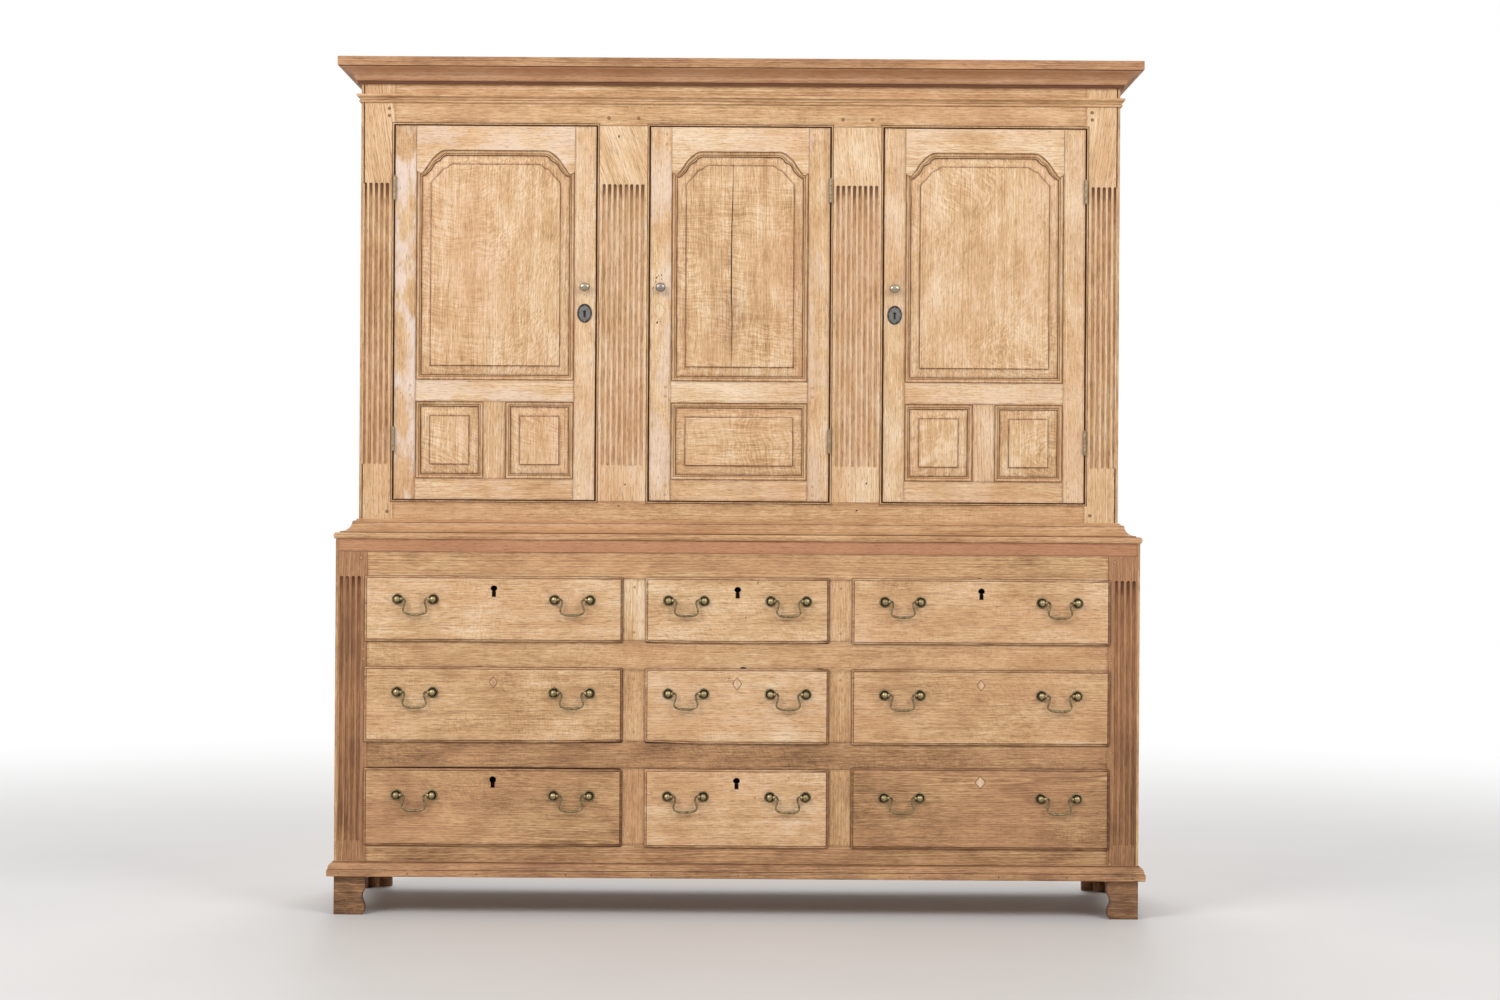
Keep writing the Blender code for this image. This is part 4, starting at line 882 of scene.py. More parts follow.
# %% Mouldings in place
CHEST, PRESS = (CHEST_HALF, CHEST_FRONT), (PRESS_HALF, PRESS_FRONT)
ASTRAGAL_FLOOR = 2.026
for name, section, case, floor, node, material, tone, red, dirt_and_shade in (
    ("base_moulding", base_section, CHEST, FOOT_TOP, "base_moulding", BROWN_OAK, 0.37, 0.08, None),
    ("waist_moulding", waist_section, PRESS, PRESS_FLOOR, "base_top", BROWN_OAK, 0.58, 0.12, None),
    ("astragal", astragal_section, PRESS, ASTRAGAL_FLOOR, "upper_face_frame", PALE_OAK, 0.62, 0.0, None),
    ("cornice_cove", cornice_section, PRESS, PRESS_TOP + GAP, "cornice", PALE_OAK, 0.68, 0.55, cove_dirt_and_shade),
):
    for side, shape in case_moulding(name, section, *case, floor, dirt_and_shade).items():
        piece(f"{name}_{side}", shape, node, material, along="x" if side == "front" else "y", flat="z", tone=tone,
              red=red, sawn="slant")
print("with the mouldings", len(made), "pieces")

# %% [markdown]
# ## The chest's top band and the cornice's boards
# The edge of the chest's top shows as a reddish band, with the side boards' ends beside it. The cornice is
# covered by three boards whose front and end edges are the plain fascia above the cove.

# %% Band, chest top and cornice boards
band_half = CHEST_HALF - SIDE_EDGE - GAP
board("chest_top_band", "band", rectangle(-band_half, band_half, BAND_FLOOR + 2 * JOINT, CHEST_TOP), CHEST_FRONT,
      CHEST_FRAME_BACK, "base_top", BROWN_OAK, wave=0.3 * MM, reach=0.7, tone=0.47, red=0.66, sawn="slant")
inside, TOP_THICK = CHEST_HALF - SIDE_THICK - GAP, 18 * MM
board("chest_top_board", "chest_top", rectangle(-inside, inside, CHEST_FRAME_BACK + GAP, BACK - BACK_THICK - GAP),
      CHEST_TOP, CHEST_TOP - TOP_THICK, "base_top", INNER_OAK, facing="top", flat="z", tone=0.5)
CORNICE_OUT, CORNICE_SEAM = 53 * MM, 0.3 * MM
cornice_half = PRESS_HALF + CORNICE_OUT
cuts = np.array([PRESS_FRONT - CORNICE_OUT, -0.075, 0.105, BACK])
for number, (start, end) in enumerate(zip(cuts, cuts[1:])):
    start, end = start + CORNICE_SEAM * (number > 0), end - CORNICE_SEAM * (number < 2)
    board(f"cornice_board_{number + 1}", f"cornice{number}", rectangle(-cornice_half, cornice_half, start, end),
          CORNICE_TOP, PRESS_TOP + GAP, "cornice", PALE_OAK, facing="top", ease=1.4 * MM, wave=0.4 * MM,
          edge_dirt=0.35, flat="z", tone=0.48, red=0.25, sawn="slant")
print("with the cornice's boards", len(made), "pieces")

# %% [markdown]
# ## Sides and backs
# The sides of both cases are two wide planks each, rebated at the front for the face frame and at the back for
# the back boards. The backs are narrow upright planks that butt against each other, nailed at both ends, as was
# usual for a face that stood against a wall.


# %% Sides
def side_plank(name, key, deep, up, outer, sign, node, rebates, **finish):
    """A plank of a side: its inner face stops at the rebates, so its first rings are narrower than its face.

    The rebates are as deep as the plank less the strip that shows, at the front edge or at the back edge.
    """
    (start, end), (low, high) = deep, up
    inner_start = start + (FRAME_THICK + GAP) * rebates[0]
    inner_end = end - (BACK_THICK + GAP) * rebates[1]
    whole = rectangle(start, end, low, high)
    narrow = divided(rectangle(inner_start, inner_end, low, high), like=whole)
    half = divided(rectangle(inner_start, end, low, high), like=whole)
    back, cover, edge = (sign * (outer - depth) for depth in (SIDE_THICK, BACK_COVER, SIDE_EDGE))
    foot = [(inset(narrow, 3 * MM), back), (narrow, back), (narrow, cover), (half, cover), (half, edge)]
    board(name, key, divided(whole), sign * outer, edge, node, facing="side", foot=foot, step=9.0, wave=0.0,
          edge_dirt=0.30, along="z", flat="x", **finish)


for case, outer, front, up, seam, material, tone in (
    ("base", CHEST_HALF, CHEST_FRONT, (FOOT_TOP, CHEST_TOP), 0.03, BROWN_OAK, 0.52),
    ("upper", PRESS_HALF, PRESS_FRONT, (PRESS_FLOOR, PRESS_TOP), -0.02, PALE_OAK, 0.62),
):
    seam = (front + BACK) / 2 + seam
    for side, sign in SIDES.items():
        for number, deep in enumerate(((front, seam - JOINT), (seam + JOINT, BACK))):
            side_plank(f"{case}_side_{side}_plank_{number + 1}", f"{case}{side}{number}", deep, up, outer, sign,
                       f"{case}_side_{side}", (number == 0, number == 1), material=material,
                       tone=tone - 0.03 * number, sawn=("quartered", "slant")[number])
print("with the sides", len(made), "pieces")

# %% Backs and battens
BACK_SEAM, NAIL_IN, NAIL_UP = 0.06 * MM, 22 * MM, 25 * MM
NAIL_PROFILE = np.array([(0, 1.0), (1.6, 0.7), (3.0, 0.1), (3.0, -1.5), (0, -1.5)]) * MM


def nail(x, z):
    """A rose-headed nail in the back: a low dome with eight hammered facets, turned to face backwards."""
    head = turned(NAIL_PROFILE, (x, BACK, z), 8, [0.3, 0.4, 0.8, 0.8, 0.8])
    return head._replace(points=head.points * (1, -1, 1) + (0, 2 * BACK, 0))


for case, half, low, high, count in (
    ("base", CHEST_HALF - BACK_COVER - GAP, FOOT_TOP, CHEST_TOP - GAP, 9),
    ("upper", PRESS_HALF - BACK_COVER - GAP, PRESS_FLOOR, PRESS_TOP, 8),
):
    random = seed(case)
    shares = 1 + 0.25 * random.uniform(-1, 1, count)
    edges = -half + 2 * half * np.concatenate([[0], np.cumsum(shares) / shares.sum()])
    nails = []
    for number, (left, right) in enumerate(zip(edges + BACK_SEAM, edges[1:] - BACK_SEAM)):
        board(f"{case}_back_plank_{number + 1}", f"{case}_back{number}", rectangle(left, right, low, high), BACK,
              BACK - BACK_THICK, f"{case}_back", INNER_OAK, ease=1.2 * MM, wave=0.03 * MM, along="z",
              tone=0.46 + 0.08 * random.random(), sawn=("plain", "slant", "quartered")[number % 3])
        nails += [nail(x, z) for x in (left + NAIL_IN, right - NAIL_IN) for z in (low + NAIL_UP, high - NAIL_UP)]
    piece(f"{case}_back_nails", together(nails), f"{case}_back", IRON, sharp=60.0)
BATTEN_THICK, BATTEN_HIGH, BATTEN_START = 18 * MM, 25 * MM, PRESS_FRONT + 47 * MM
SHELF_RISES = {"lower": 0.300, "upper": 0.620}
for side, sign in SIDES.items():
    for level, rise in SHELF_RISES.items():
        top, side_face = DOOR_FLOOR + rise - GAP, PRESS_HALF - SIDE_THICK
        deep = BATTEN_START, BACK - BACK_THICK - GAP
        board(f"shelf_batten_{side}_{level}", f"batten{side}{level}", rectangle(*deep, top - BATTEN_HIGH, top),
              sign * (side_face - BATTEN_THICK), sign * side_face, f"upper_side_{side}", INNER_OAK, facing="side",
              ease=1.5 * MM, reach=0.5, along="y", flat="x", tone=0.5)
print("with backs and battens", len(made), "pieces")

# %% [markdown]
# The boards inside the cases keep their solids, because a plain board is their true shape. Their oak reads
# Object coordinates instead of an attribute.

# %% Boards inside
for node in ("dust_board_upper", "dust_board_middle", "base_floor", "upper_floor", "shelf_upper", "shelf_lower"):
    frame["nodes"][node].data.materials.clear()
    frame["nodes"][node].data.materials.append(INNER_BOARDS)
print("oak on the shelves and dust boards")

# %% [markdown]
# ## Bracket feet
# Each front foot is a board on the face and one on the side, scalloped on their inner edges, with a block
# glued in the corner. Their toes are worn round from standing on stone floors.

# %% Feet
SCALLOP = through([(69, 0), (74.5, 6), (77, 14), (77, 24), (73, 34), (70, 44), (71.5, 54), (77, 62)], 4) * MM
FOOT_BOARD, FOOT_WIDE, BLOCK, BLOCK_RISE = 22 * MM, 0.079, 50 * MM, 1.5 * MM
foot_head = FOOT_TOP - GAP
foot_outline = np.concatenate([[(0, 0)], SCALLOP, [(FOOT_WIDE, 0.068), (FOOT_WIDE, foot_head), (0, foot_head)]])
FOOT_FACES = {"front": foot_outline, "rear": rectangle(0, FOOT_WIDE, 0, foot_head)}
WORN_FOOT = {"ease": 1.6 * MM, "reach": 0.33, "sawn": "slant"}
# The feet are the darkest oak, tones 0.20 and 0.22: part of it is painted shade, the light falling off towards the
# floor
for end, corner_y, into in (("front", CHEST_FRONT, 1), ("rear", BACK, -1)):
    for side, sign in SIDES.items():
        node = f"foot_{end}_{side}"
        face = (FOOT_FACES[end] * (-sign, 1) + (sign * CHEST_HALF, 0))[::-sign]
        board(f"{node}_face", node + "face", face, corner_y, corner_y + into * FOOT_BOARD, node, BROWN_OAK,
              tone=0.20, **WORN_FOOT)
        flank = foot_outline * (into, 1) + (corner_y, 0)
        start = corner_y + into * (FOOT_BOARD + JOINT)
        flank[:, 0] = into * np.maximum(into * flank[:, 0], into * start)
        board(f"{node}_flank", node + "flank", flank[::into], sign * CHEST_HALF, sign * (CHEST_HALF - FOOT_BOARD),
              node, BROWN_OAK, facing="side", along="y", flat="x", tone=0.22, **WORN_FOOT)
        across = sorted((sign * (CHEST_HALF - FOOT_BOARD - JOINT), sign * (CHEST_HALF - BLOCK)))
        deep = sorted((start, corner_y + into * BLOCK))
        board(f"{node}_block", node + "block", rectangle(*across, *deep), foot_head, BLOCK_RISE, node, INNER_OAK,
              facing="top", ease=1.5 * MM, reach=0.4, along="z", tone=0.34)
print("with the feet", len(made), "pieces")

# %% [markdown]
# ## Doors
# A door is a frame of stiles and rails that holds thin panels loosely, so that they can shrink and swell. Each
# panel is raised: a slope rises from the moulding to a step, and the field inside the step is flat. The upper
# panels have a shaped head. Three lines follow it: the edge of the rail, the inner edge of the moulding and the
# edge of the field. They are drawn together, as one smooth line through points of six numbers, so any line
# between them is a simple mix of two.

# %% The shaped head
PLAY_SIDE, PLAY_END = 2.5 * MM, 1.5 * MM
STILE, DOOR_SILL, LOCK_RAIL, HEAD_DEPTH, MUNTIN = 0.053, 0.0516, 0.0527, 0.0605, 0.0536
LOWER_PANEL = 0.1944
LINE_BORDERS = (0.0, 12.2 * MM, 37.5 * MM)
HEAD_LINES = through([
    (0, -53, 12.2, -64, 37.5, -84), (5, -56.2, 14.4, -65, 38.6, -81.5), (10.5, -58.6, 17.5, -63.8, 41, -78),
    (15, -56.8, 22, -61.2, 45.5, -73.3), (20.5, -49, 28.5, -55.6, 50.5, -68),
    (28, -38.4, 36.3, -46.8, 56.5, -61.4), (33, -31, 41.5, -36.8, 62, -55), (39, -22.6, 47.3, -30.2, 68, -48.3),
    (47, -14.2, 56.8, -25.6, 77, -45), (53, -9, 61.6, -20.6, 81.6, -41.2), (60, -4.4, 66, -15.4, 86.4, -37.8),
    (68, -1, 74, -12.6, 93, -35.8), (76, 0, 84, -12.2, 101, -36),
], 4) * MM


def head_outline(left, right, bottom, crown, line):
    """One of the three lines of an arched panel, anticlockwise: both lower corners, then up and over the head."""
    border = LINE_BORDERS[line]
    across, down = HEAD_LINES[:, 2 * line], HEAD_LINES[:, 2 * line + 1]
    right_half = np.stack([right - across, crown + down], axis=1)
    left_half = np.stack([left + across, crown + down], axis=1)[::-1]
    return np.concatenate([[(left + border, bottom + border), (right - border, bottom + border)], right_half,
                           left_half])


def panel_lines(left, right, bottom, top, arched):
    """The three lines of a panel with as many points each."""
    if arched:
        lines = [head_outline(left, right, bottom, top, line) for line in range(3)]
    else:
        lines = [inset(rectangle(left, right, bottom, top), border) for border in LINE_BORDERS]
    return np.stack([divided(line, like=lines[0]) for line in lines])


def between(lines, distance):
    """The outline at a distance in from the frame: a mix of the two lines that it lies between."""
    _, mould, field = LINE_BORDERS
    if distance > field:
        return inset(lines[2], distance - field)
    outer = 0 if distance <= mould else 1
    share = (distance - LINE_BORDERS[outer]) / (LINE_BORDERS[outer + 1] - LINE_BORDERS[outer])
    return lines[outer] + (lines[outer + 1] - lines[outer]) * share


print("the shaped head is a line of", len(HEAD_LINES), "points on each side")

# %% Panels and their mouldings
quarter = np.radians(np.linspace(0, 90, 9))
ovolo = np.stack([2.3 + 6.3 * np.sin(quarter), 5.6 - 4.0 * np.cos(quarter)], axis=1)
panel_mould = np.concatenate([
    [(0.15, 14), (0.15, 0.9), (0.5, 0.45), (1.5, 0.45), (1.9, 1.9)], ovolo,
    [(8.9, 6.4), (9.5, 6.3)], arc((10.8, 6.5), (1.3, 1.1), 180, 340, 6), [(12.2, 8), (12.2, 14)],
]) * MM
# Dirt with painted shade round the panels, darkest in the quirks and where the moulding meets frame and panel
mould_dirt_and_shade = [1, 0.9, 0.45, 0.6, 1.1, 0.6, 0.42, 0.28, 0.22, 0.20, 0.20, 0.22, 0.30, 0.6, 1.05, 0.9, 0.3, 0.1, 0,
              0, 0, 0.2, 0.6, 1.0, 1.1]
# Distance in from the frame and depth below its face, in mm, and dirt, which paints shade beside the moulding and
# along the field's step
PANEL_STEPS = (
    (11.4, 17.0, 0.3), (11.4, 9.1, 1.0), (12.6, 9.0, 0.9), (14.5, 8.6, 0.48), (19.0, 7.6, 0.26),
    (27.0, 5.9, 0.20), (32.0, 4.9, 0.28), (35.4, 4.2, 0.50), (37.0, 3.5, 0.72), (37.2, 2.1, 0.66),
    (37.9, 1.5, 0.45), (39.2, 1.5, 0.22), (41.5, 1.5, 0.0),
)


def raised_panel(lines):
    """A panel: rings at the listed distances in from the frame, sunk below its face by the listed depths."""
    return skin([placed(between(lines, distance * MM), PRESS_FRONT + depth * MM)
                 for distance, depth, _ in PANEL_STEPS], one_each([dirt_and_shade for *_, dirt_and_shade in PANEL_STEPS]))


def split(shape, x, width):
    """Both halves of a board that has split along its grain, with an open shake between them.

    In each half, a point that lies past the shake is brought back to its edge: across = the shake's middle,
    which wanders as two sines of the height, more or less half its width, which is least at both ends.
    """
    height = shape.points[:, 2]
    share = (height - height.min()) / np.ptp(height)
    middle = x + 1.3 * MM * np.sin(8.2 * share + 0.4) + 0.5 * MM * np.sin(21.0 * share + 2.0)
    opening = width * (0.12 + 0.88 * np.sin(math.pi * share) ** 0.7)
    halves = []
    for sign in (-1, 1):
        edge = middle + sign * opening / 2
        points = shape.points.copy()
        points[:, 0] = np.where(sign * (points[:, 0] - edge) > 0, points[:, 0], edge)
        halves.append(shape._replace(points=points))
    return together(halves)


print("a panel has", len(PANEL_STEPS), "rings")

# %% [markdown]
# Every board of a door has its own tone, from the bleached stiles to the warmer panels. The middle door is the
# odd one: it has one wide panel below, its hinges are on the right, and its big panel has split from head to foot.

# %% The three doors
STILE_TONES = {"left": (0.68, 0.84), "middle": (0.78, 0.76), "right": (0.78, 0.76)}
PANEL_TONES = {"left": 0.76, "middle": 0.72, "right": 0.75}
BLEACHING = {"leftstile_left": -0.95, "middlestile_left": -0.5, "middlestile_right": -0.35,
             "leftrail_head": -0.4, "leftrail_lock": -0.45}
SHAKE_AT, SHAKE_WIDTH = -0.020, 2.7 * MM
door_low, door_high = DOOR_FLOOR + PLAY_END, DOOR_HEAD - PLAY_END
lock_floor = door_low + DOOR_SILL + LOWER_PANEL
for place, (left, right) in DOORWAYS.items():
    node = f"door_{place}"
    left, right = left + PLAY_SIDE, right - PLAY_SIDE
    inner = left + STILE, right - STILE
    sill, upper, crown = door_low + DOOR_SILL, lock_floor + LOCK_RAIL, door_high - HEAD_DEPTH
    tones = STILE_TONES[place]
    head = head_outline(*inner, 0, crown, 0)[2:]
    boards = {
        "stile_left": (rectangle(left, inner[0] - JOINT, door_low, door_high), "z", tones[0]),
        "stile_right": (rectangle(inner[1] + JOINT, right, door_low, door_high), "z", tones[1]),
        "rail_sill": (rectangle(*inner, door_low, sill), "x", 0.72),
        "rail_lock": (rectangle(*inner, lock_floor, upper), "x", 0.84),
        "rail_head": (np.concatenate([[(inner[1], door_high), (inner[0], door_high)], head[::-1]]), "x", 0.84),
    }
    panels = {"upper": (*inner, upper, crown, True)}
    if place == "middle":
        panels["lower"] = (*inner, sill, lock_floor, False)
    else:
        middle = (left + right) / 2
        edges = middle - MUNTIN / 2, middle + MUNTIN / 2
        boards["muntin"] = (rectangle(*edges, sill + JOINT, lock_floor - JOINT), "z", 0.76)
        panels["lower_left"] = (inner[0], edges[0], sill, lock_floor, False)
        panels["lower_right"] = (edges[1], inner[1], sill, lock_floor, False)
    for name, (outline, along, tone) in boards.items():
        # An edge dirt of 1.35 paints the door's edges black as the shaded gap round the door
        board(f"{node}_{name}", place + name, outline, PRESS_FRONT, PRESS_FRAME_BACK, node, PALE_OAK, step=0.03,
              reach=0.15 if name == "rail_head" else 0.75, edge_dirt=1.35, along=along, tone=tone,
              red=BLEACHING.get(place + name, -0.15), sawn="slant" if name == "muntin" else "quartered")
    for panel, measures in panels.items():
        lines = panel_lines(*measures)
        shape = raised_panel(lines)
        if (place, panel) == ("middle", "upper"):
            shape = split(shape, SHAKE_AT, SHAKE_WIDTH)
        piece(f"{node}_panel_{panel}", shape, node, FIGURED_OAK, along="x" if panel == "lower" else "z",
              tone=PANEL_TONES[place])
        piece(f"{node}_moulding_{panel}", framed(lines, panel_mould, mould_dirt_and_shade, between), node, PALE_OAK,
              along="z", tone=0.70, sharp=40.0)
print("with the doors", len(made), "pieces")

# %% [markdown]
# ## Hinges, knobs and escutcheons
# A butt hinge has three knuckles on one pin: the outer two belong to the frame's leaf, the middle one to the
# door's. The knobs are small brass ovals. The two outer doors have oval escutcheons with a raised rim; on the
# middle door a small patch of paler wood fills the place of an old lock.

# %% Hinges
KNUCKLE_OUT, KNUCKLE_RADIUS, KNUCKLE_MIDDLE, HINGE_HALF = 4.5 * MM, 4.0 * MM, 11 * MM, 30 * MM
KNUCKLE_GAP, LEAF_SLOT, PIN_PAST, PIN_RADIUS, LEAF_DEPTH = 0.25 * MM, 11.4 * MM, 1.5 * MM, 2 * MM, 18 * MM
LEAF_FACE, LEAF_BACK, TAB_DEPTH = 0.3 * MM, 1.2 * MM, 1 * MM
HINGE_MIDDLES = {"lower": door_low + 0.151, "upper": door_high - 0.1565}
AXIS_Y = PRESS_FRONT - KNUCKLE_OUT


def leaf(key, outline, near, far, reach=0.1):
    """A thin leaf in the gap beside a door, between two levels across."""
    return plate(key, outline, near, far, "side", ease=0.2 * MM, wave=0.0, reach=reach)


for place, doorway in DOORWAYS.items():
    side = HINGE_SIDES[place]
    edge = doorway[side > 0]
    axis_x = edge - side * PLAY_SIDE / 2
    door_side = edge - side * PLAY_SIDE + side * 0.8 * MM, edge - side * PLAY_SIDE - side * 0.2 * MM
    for end, middle in HINGE_MIDDLES.items():
        name = f"{place}_{end}"
        low, high = middle - HINGE_HALF, middle + HINGE_HALF
        slot_low, slot_high, leaf_back = middle - LEAF_SLOT, middle + LEAF_SLOT, PRESS_FRONT + LEAF_DEPTH
        fixed = leaf(f"leaf{name}", [
            (leaf_back, low), (leaf_back, high), (AXIS_Y, high), (AXIS_Y, slot_high), (PRESS_FRONT, slot_high),
            (PRESS_FRONT, slot_low), (AXIS_Y, slot_low), (AXIS_Y, low)],
            edge - side * LEAF_BACK, edge - side * LEAF_FACE)
        knuckles = [barrel(axis_x, AXIS_Y, *heights, radius) for *heights, radius in (
            (low, middle - KNUCKLE_MIDDLE - KNUCKLE_GAP, KNUCKLE_RADIUS),
            (middle + KNUCKLE_MIDDLE + KNUCKLE_GAP, high, KNUCKLE_RADIUS),
            (low - PIN_PAST, high + PIN_PAST, PIN_RADIUS))]
        piece(f"hinge_{name}_fixed", together([fixed, *knuckles]), f"hinge_{name}", IRON, along="z")
        heights = middle - KNUCKLE_MIDDLE, middle + KNUCKLE_MIDDLE
        moving = [leaf(f"doorleaf{name}", rectangle(PRESS_FRONT + GAP, leaf_back, low, high), *door_side, 0.2),
                  leaf(f"tab{name}", rectangle(AXIS_Y, PRESS_FRONT + TAB_DEPTH, *heights), *door_side),
                  barrel(axis_x, AXIS_Y, *heights, KNUCKLE_RADIUS)]
        piece(f"hinge_{name}_door", together(moving), f"door_{place}", IRON, along="z")
print("with the hinges", len(made), "pieces")


# %% Keyholes as a function of direction
def keyhole(angle, head=6.1 * MM, rise=5.7 * MM, neck=4.5 * MM, bell=6.0 * MM, drop=13.0 * MM):
    """The distance to a keyhole's edge in each direction from its neck: the farthest of three shapes.

    The head is a circle above the middle, the neck a slot below it and the bell a wedge that widens downwards.
    """
    sine, cosine = np.sin(angle), np.abs(np.cos(angle))
    bow = rise * sine + np.sqrt(head ** 2 - (rise * cosine) ** 2)
    fall = np.maximum(1e-6, -sine)
    slot = np.where(sine < 0, np.minimum(neck / np.maximum(1e-6, cosine), drop / fall), 0)
    wedge = np.where((sine < 0) & (cosine * drop < bell * fall), drop / fall, 0)
    return np.maximum(bow, np.maximum(slot, wedge))


def seen_from(centre, outline, angle):
    """Where a ray in each direction meets a convex outline: the nearest of the lines through its sides."""
    run = np.roll(outline, -1, axis=0) - outline
    normal = np.stack([run[:, 1], -run[:, 0]], axis=1)
    facing = directions(angle) @ normal.T
    reach = ((outline - centre) * normal).sum(axis=1)
    distance = np.where(facing > 1e-12, reach / np.where(facing > 1e-12, facing, 1), np.inf).min(axis=1)
    return radial(centre, angle, distance)


def rays_to(centre, outline, count=96):
    """Directions spread evenly, and one to each point of the outline, in order."""
    to_corners = np.arctan2(*(outline - centre).T[::-1]) % (2 * math.pi)
    return np.unique(np.round(np.concatenate([circle(count), to_corners]), 9))


def radial(centre, angle, distance):
    """Points at a distance in each direction."""
    return centre + directions(angle) * np.reshape(distance, (-1, 1))


def oval(angle, half_wide, half_high):
    """The distance to an oval's edge in each direction from its middle."""
    return 1 / np.sqrt((np.cos(angle) / half_wide) ** 2 + (np.sin(angle) / half_high) ** 2)


print("a keyhole is", round(float(keyhole(np.radians([90, -90])).sum()) / MM, 1), "mm high")

# %% Knobs and escutcheons
KNOB_IN, KNOB_HEIGHT, PLATE_HEIGHT = 26.5 * MM, door_low + 0.533, 1.502
KNOB_PROFILE = np.array([
    (0, -0.3), (8.4, -0.3), (8.6, 0.6), (8.2, 1.4), (6.8, 1.9), (5.4, 2.8), (4.6, 4.6), (4.4, 6.4), (5.2, 8.2),
    (8.0, 9.4), (10.8, 10.8), (12.3, 13.0), (12.5, 15.2), (11.6, 17.6), (9.4, 19.6), (6.2, 20.8), (3.0, 21.2),
    (0, 21.3),
]) * MM
KNOB_DIRT = [0.9, 0.9, 0.6, 0.4, 0.6, 0.8, 0.9, 0.9, 0.8, 0.6, 0.4, 0.25, 0.15, 0.1, 0.05, 0, 0.05, 0.05]
# Share of the oval, level in mm and dirt; then distance past the keyhole, level and dirt. The keyhole is a dark
# face at full dirt, painted shade where the hole would be
PLATE_STEPS = [(1.0, 0.0, 0.9), (1.0, -1.0, 0.9), (0.985, -1.7, 0.7), (0.955, -2.1, 0.5), (0.92, -2.1, 0.5),
               (0.885, -1.7, 0.8), (0.86, -1.3, 0.9), (0.80, -1.25, 0.4), (0.60, -1.5, 0.2)]
HOLE_STEPS = [(1.0, -1.6, 0.3), (0.2, -1.6, 0.5), (0.0, -1.4, 1.0), (0.0, -0.3, 1.0)]
PIN_PROFILE = np.array([(1.4, 1.2), (1.4, 1.9), (0.9, 2.4), (0, 2.5)]) * MM
SCREW_UP, PLATE_OUT = 19.6 * MM, 0.5 * MM
plate_angle = circle(72)
plate_oval = oval(plate_angle, 18.5 * MM, 23.8 * MM)
plate_hole = keyhole(plate_angle, 3.4 * MM, 3.3 * MM, 2.3 * MM, 2.6 * MM, 9.5 * MM)
plate_rings = [(share * plate_oval, level, dirt_and_shade) for share, level, dirt_and_shade in PLATE_STEPS]
plate_rings += [(plate_hole + extra * MM, level, dirt_and_shade) for extra, level, dirt_and_shade in HOLE_STEPS]
for place, doorway in DOORWAYS.items():
    side = HINGE_SIDES[place]
    x = doorway[side < 0] + side * (PLAY_SIDE + KNOB_IN)
    stretch = (1.0, 0.94) if place == "middle" else (1.07, 0.84)
    shape = turned(KNOB_PROFILE, (x, PRESS_FRONT - GAP, KNOB_HEIGHT), 32, KNOB_DIRT, stretch)
    piece(f"door_{place}_knob", shape, f"knob_{place}", PEWTER if place == "middle" else GREY_BRASS, sharp=50.0)
    if place != "middle":
        centre = np.array([x + side * PLATE_OUT, PLATE_HEIGHT])
        shapes = [skin([placed(radial(centre, plate_angle, distance), PRESS_FRONT + level * MM)
                        for distance, level, _ in plate_rings], one_each([dirt_and_shade for *_, dirt_and_shade in plate_rings]))]
        shapes += [turned(PIN_PROFILE, (centre[0], PRESS_FRONT, z), 12, [0.9, 0.5, 0.1, 0.1])
                   for z in (centre[1] - SCREW_UP, centre[1] + SCREW_UP)]
        piece(f"door_{place}_escutcheon", together(shapes), f"door_{place}", BRONZE, sharp=40.0)
print("with the door furniture", len(made), "pieces")

# %% [markdown]
# ## Drawers
# A drawer's front is planed with a lip that overlaps the frame: a thumb moulding runs round its edge. The front,
# with its keyhole, is one grid: each ring follows the edge further in, and the last rings close on the keyhole,
# because a ray from the keyhole meets every ring once. The sides meet the front in dovetails, and the bottom and
# the back are thinner boards, as on any good drawer.

# %% Drawer fronts
LIP = 6 * MM
LIP_FACE = CHEST_FRONT - GAP - 7 * MM
ROUND, WEAR_REACH = 5 * MM, 30 * MM
quarter = np.radians(np.linspace(0, 90, 8))
thumb = np.stack([5.8 * (1 - np.cos(quarter)), 3.9 - 2.9 * np.sin(quarter)], axis=1)
# Distance in from the lip's edge and depth below its face, in mm, and dirt, which paints the shade of the gap and
# the thumb moulding round the lip
LIP_STEPS = np.concatenate([
    [(9.2, 27.0, 0.3), (7.2, 27.0, 0.3), (7.2, 7.0, 0.5), (0.3, 7.0, 1.5), (0.0, 6.7, 1.5)],
    np.column_stack([thumb, [1.3, 1.0, 0.7, 0.55, 0.45, 0.45, 0.55, 0.95]]),
    [(6.1, 0.8, 1.0), (6.4, 0.2, 0.5), (7.2, 0.0, 0.2), (10.0, 0.0, 0.12), (15.0, 0.0, 0.08), (22.0, 0.0, 0.04),
     (34.0, 0.0, 0.0)],
])
# Rings of the keyhole: distance past its edge, depth and dirt; the dirt of 1.7 and 2 paints its inside black as
# shade
LOCK_STEPS = ((3.0, 0.0, 0.1), (1.0, 0.0, 0.4), (0.3, 0.1, 0.9), (0, 0.5, 1.7), (0, 21, 2), (-1.2, 22, 2))
# Lips that have broken away at the top, and lower edges that have worn: places across and how far they have risen
TOP_LIPS = {("bottom", "left"): -1.5 * MM, ("bottom", "middle"): 0.0}
WORN_EDGES = {
    ("middle", "middle"): ((-0.229, -0.215, -0.15, -0.10, 0.25), (0.0048, 0.0045, 0.0015, 0, 0)),
    ("middle", "left"): ((0.10, 0.20, 0.26, 0.33), (0, 0.0012, 0.0035, 0.0048)),
    ("bottom", "left"): ((-0.33, -0.1, 0.12, 0.33), (0.0020, 0, 0, 0.0026)),
    ("top", "middle"): ((-0.229, -0.20, 0, 0.20, 0.229), (0.0030, 0.0008, 0, 0.0008, 0.0030)),
}


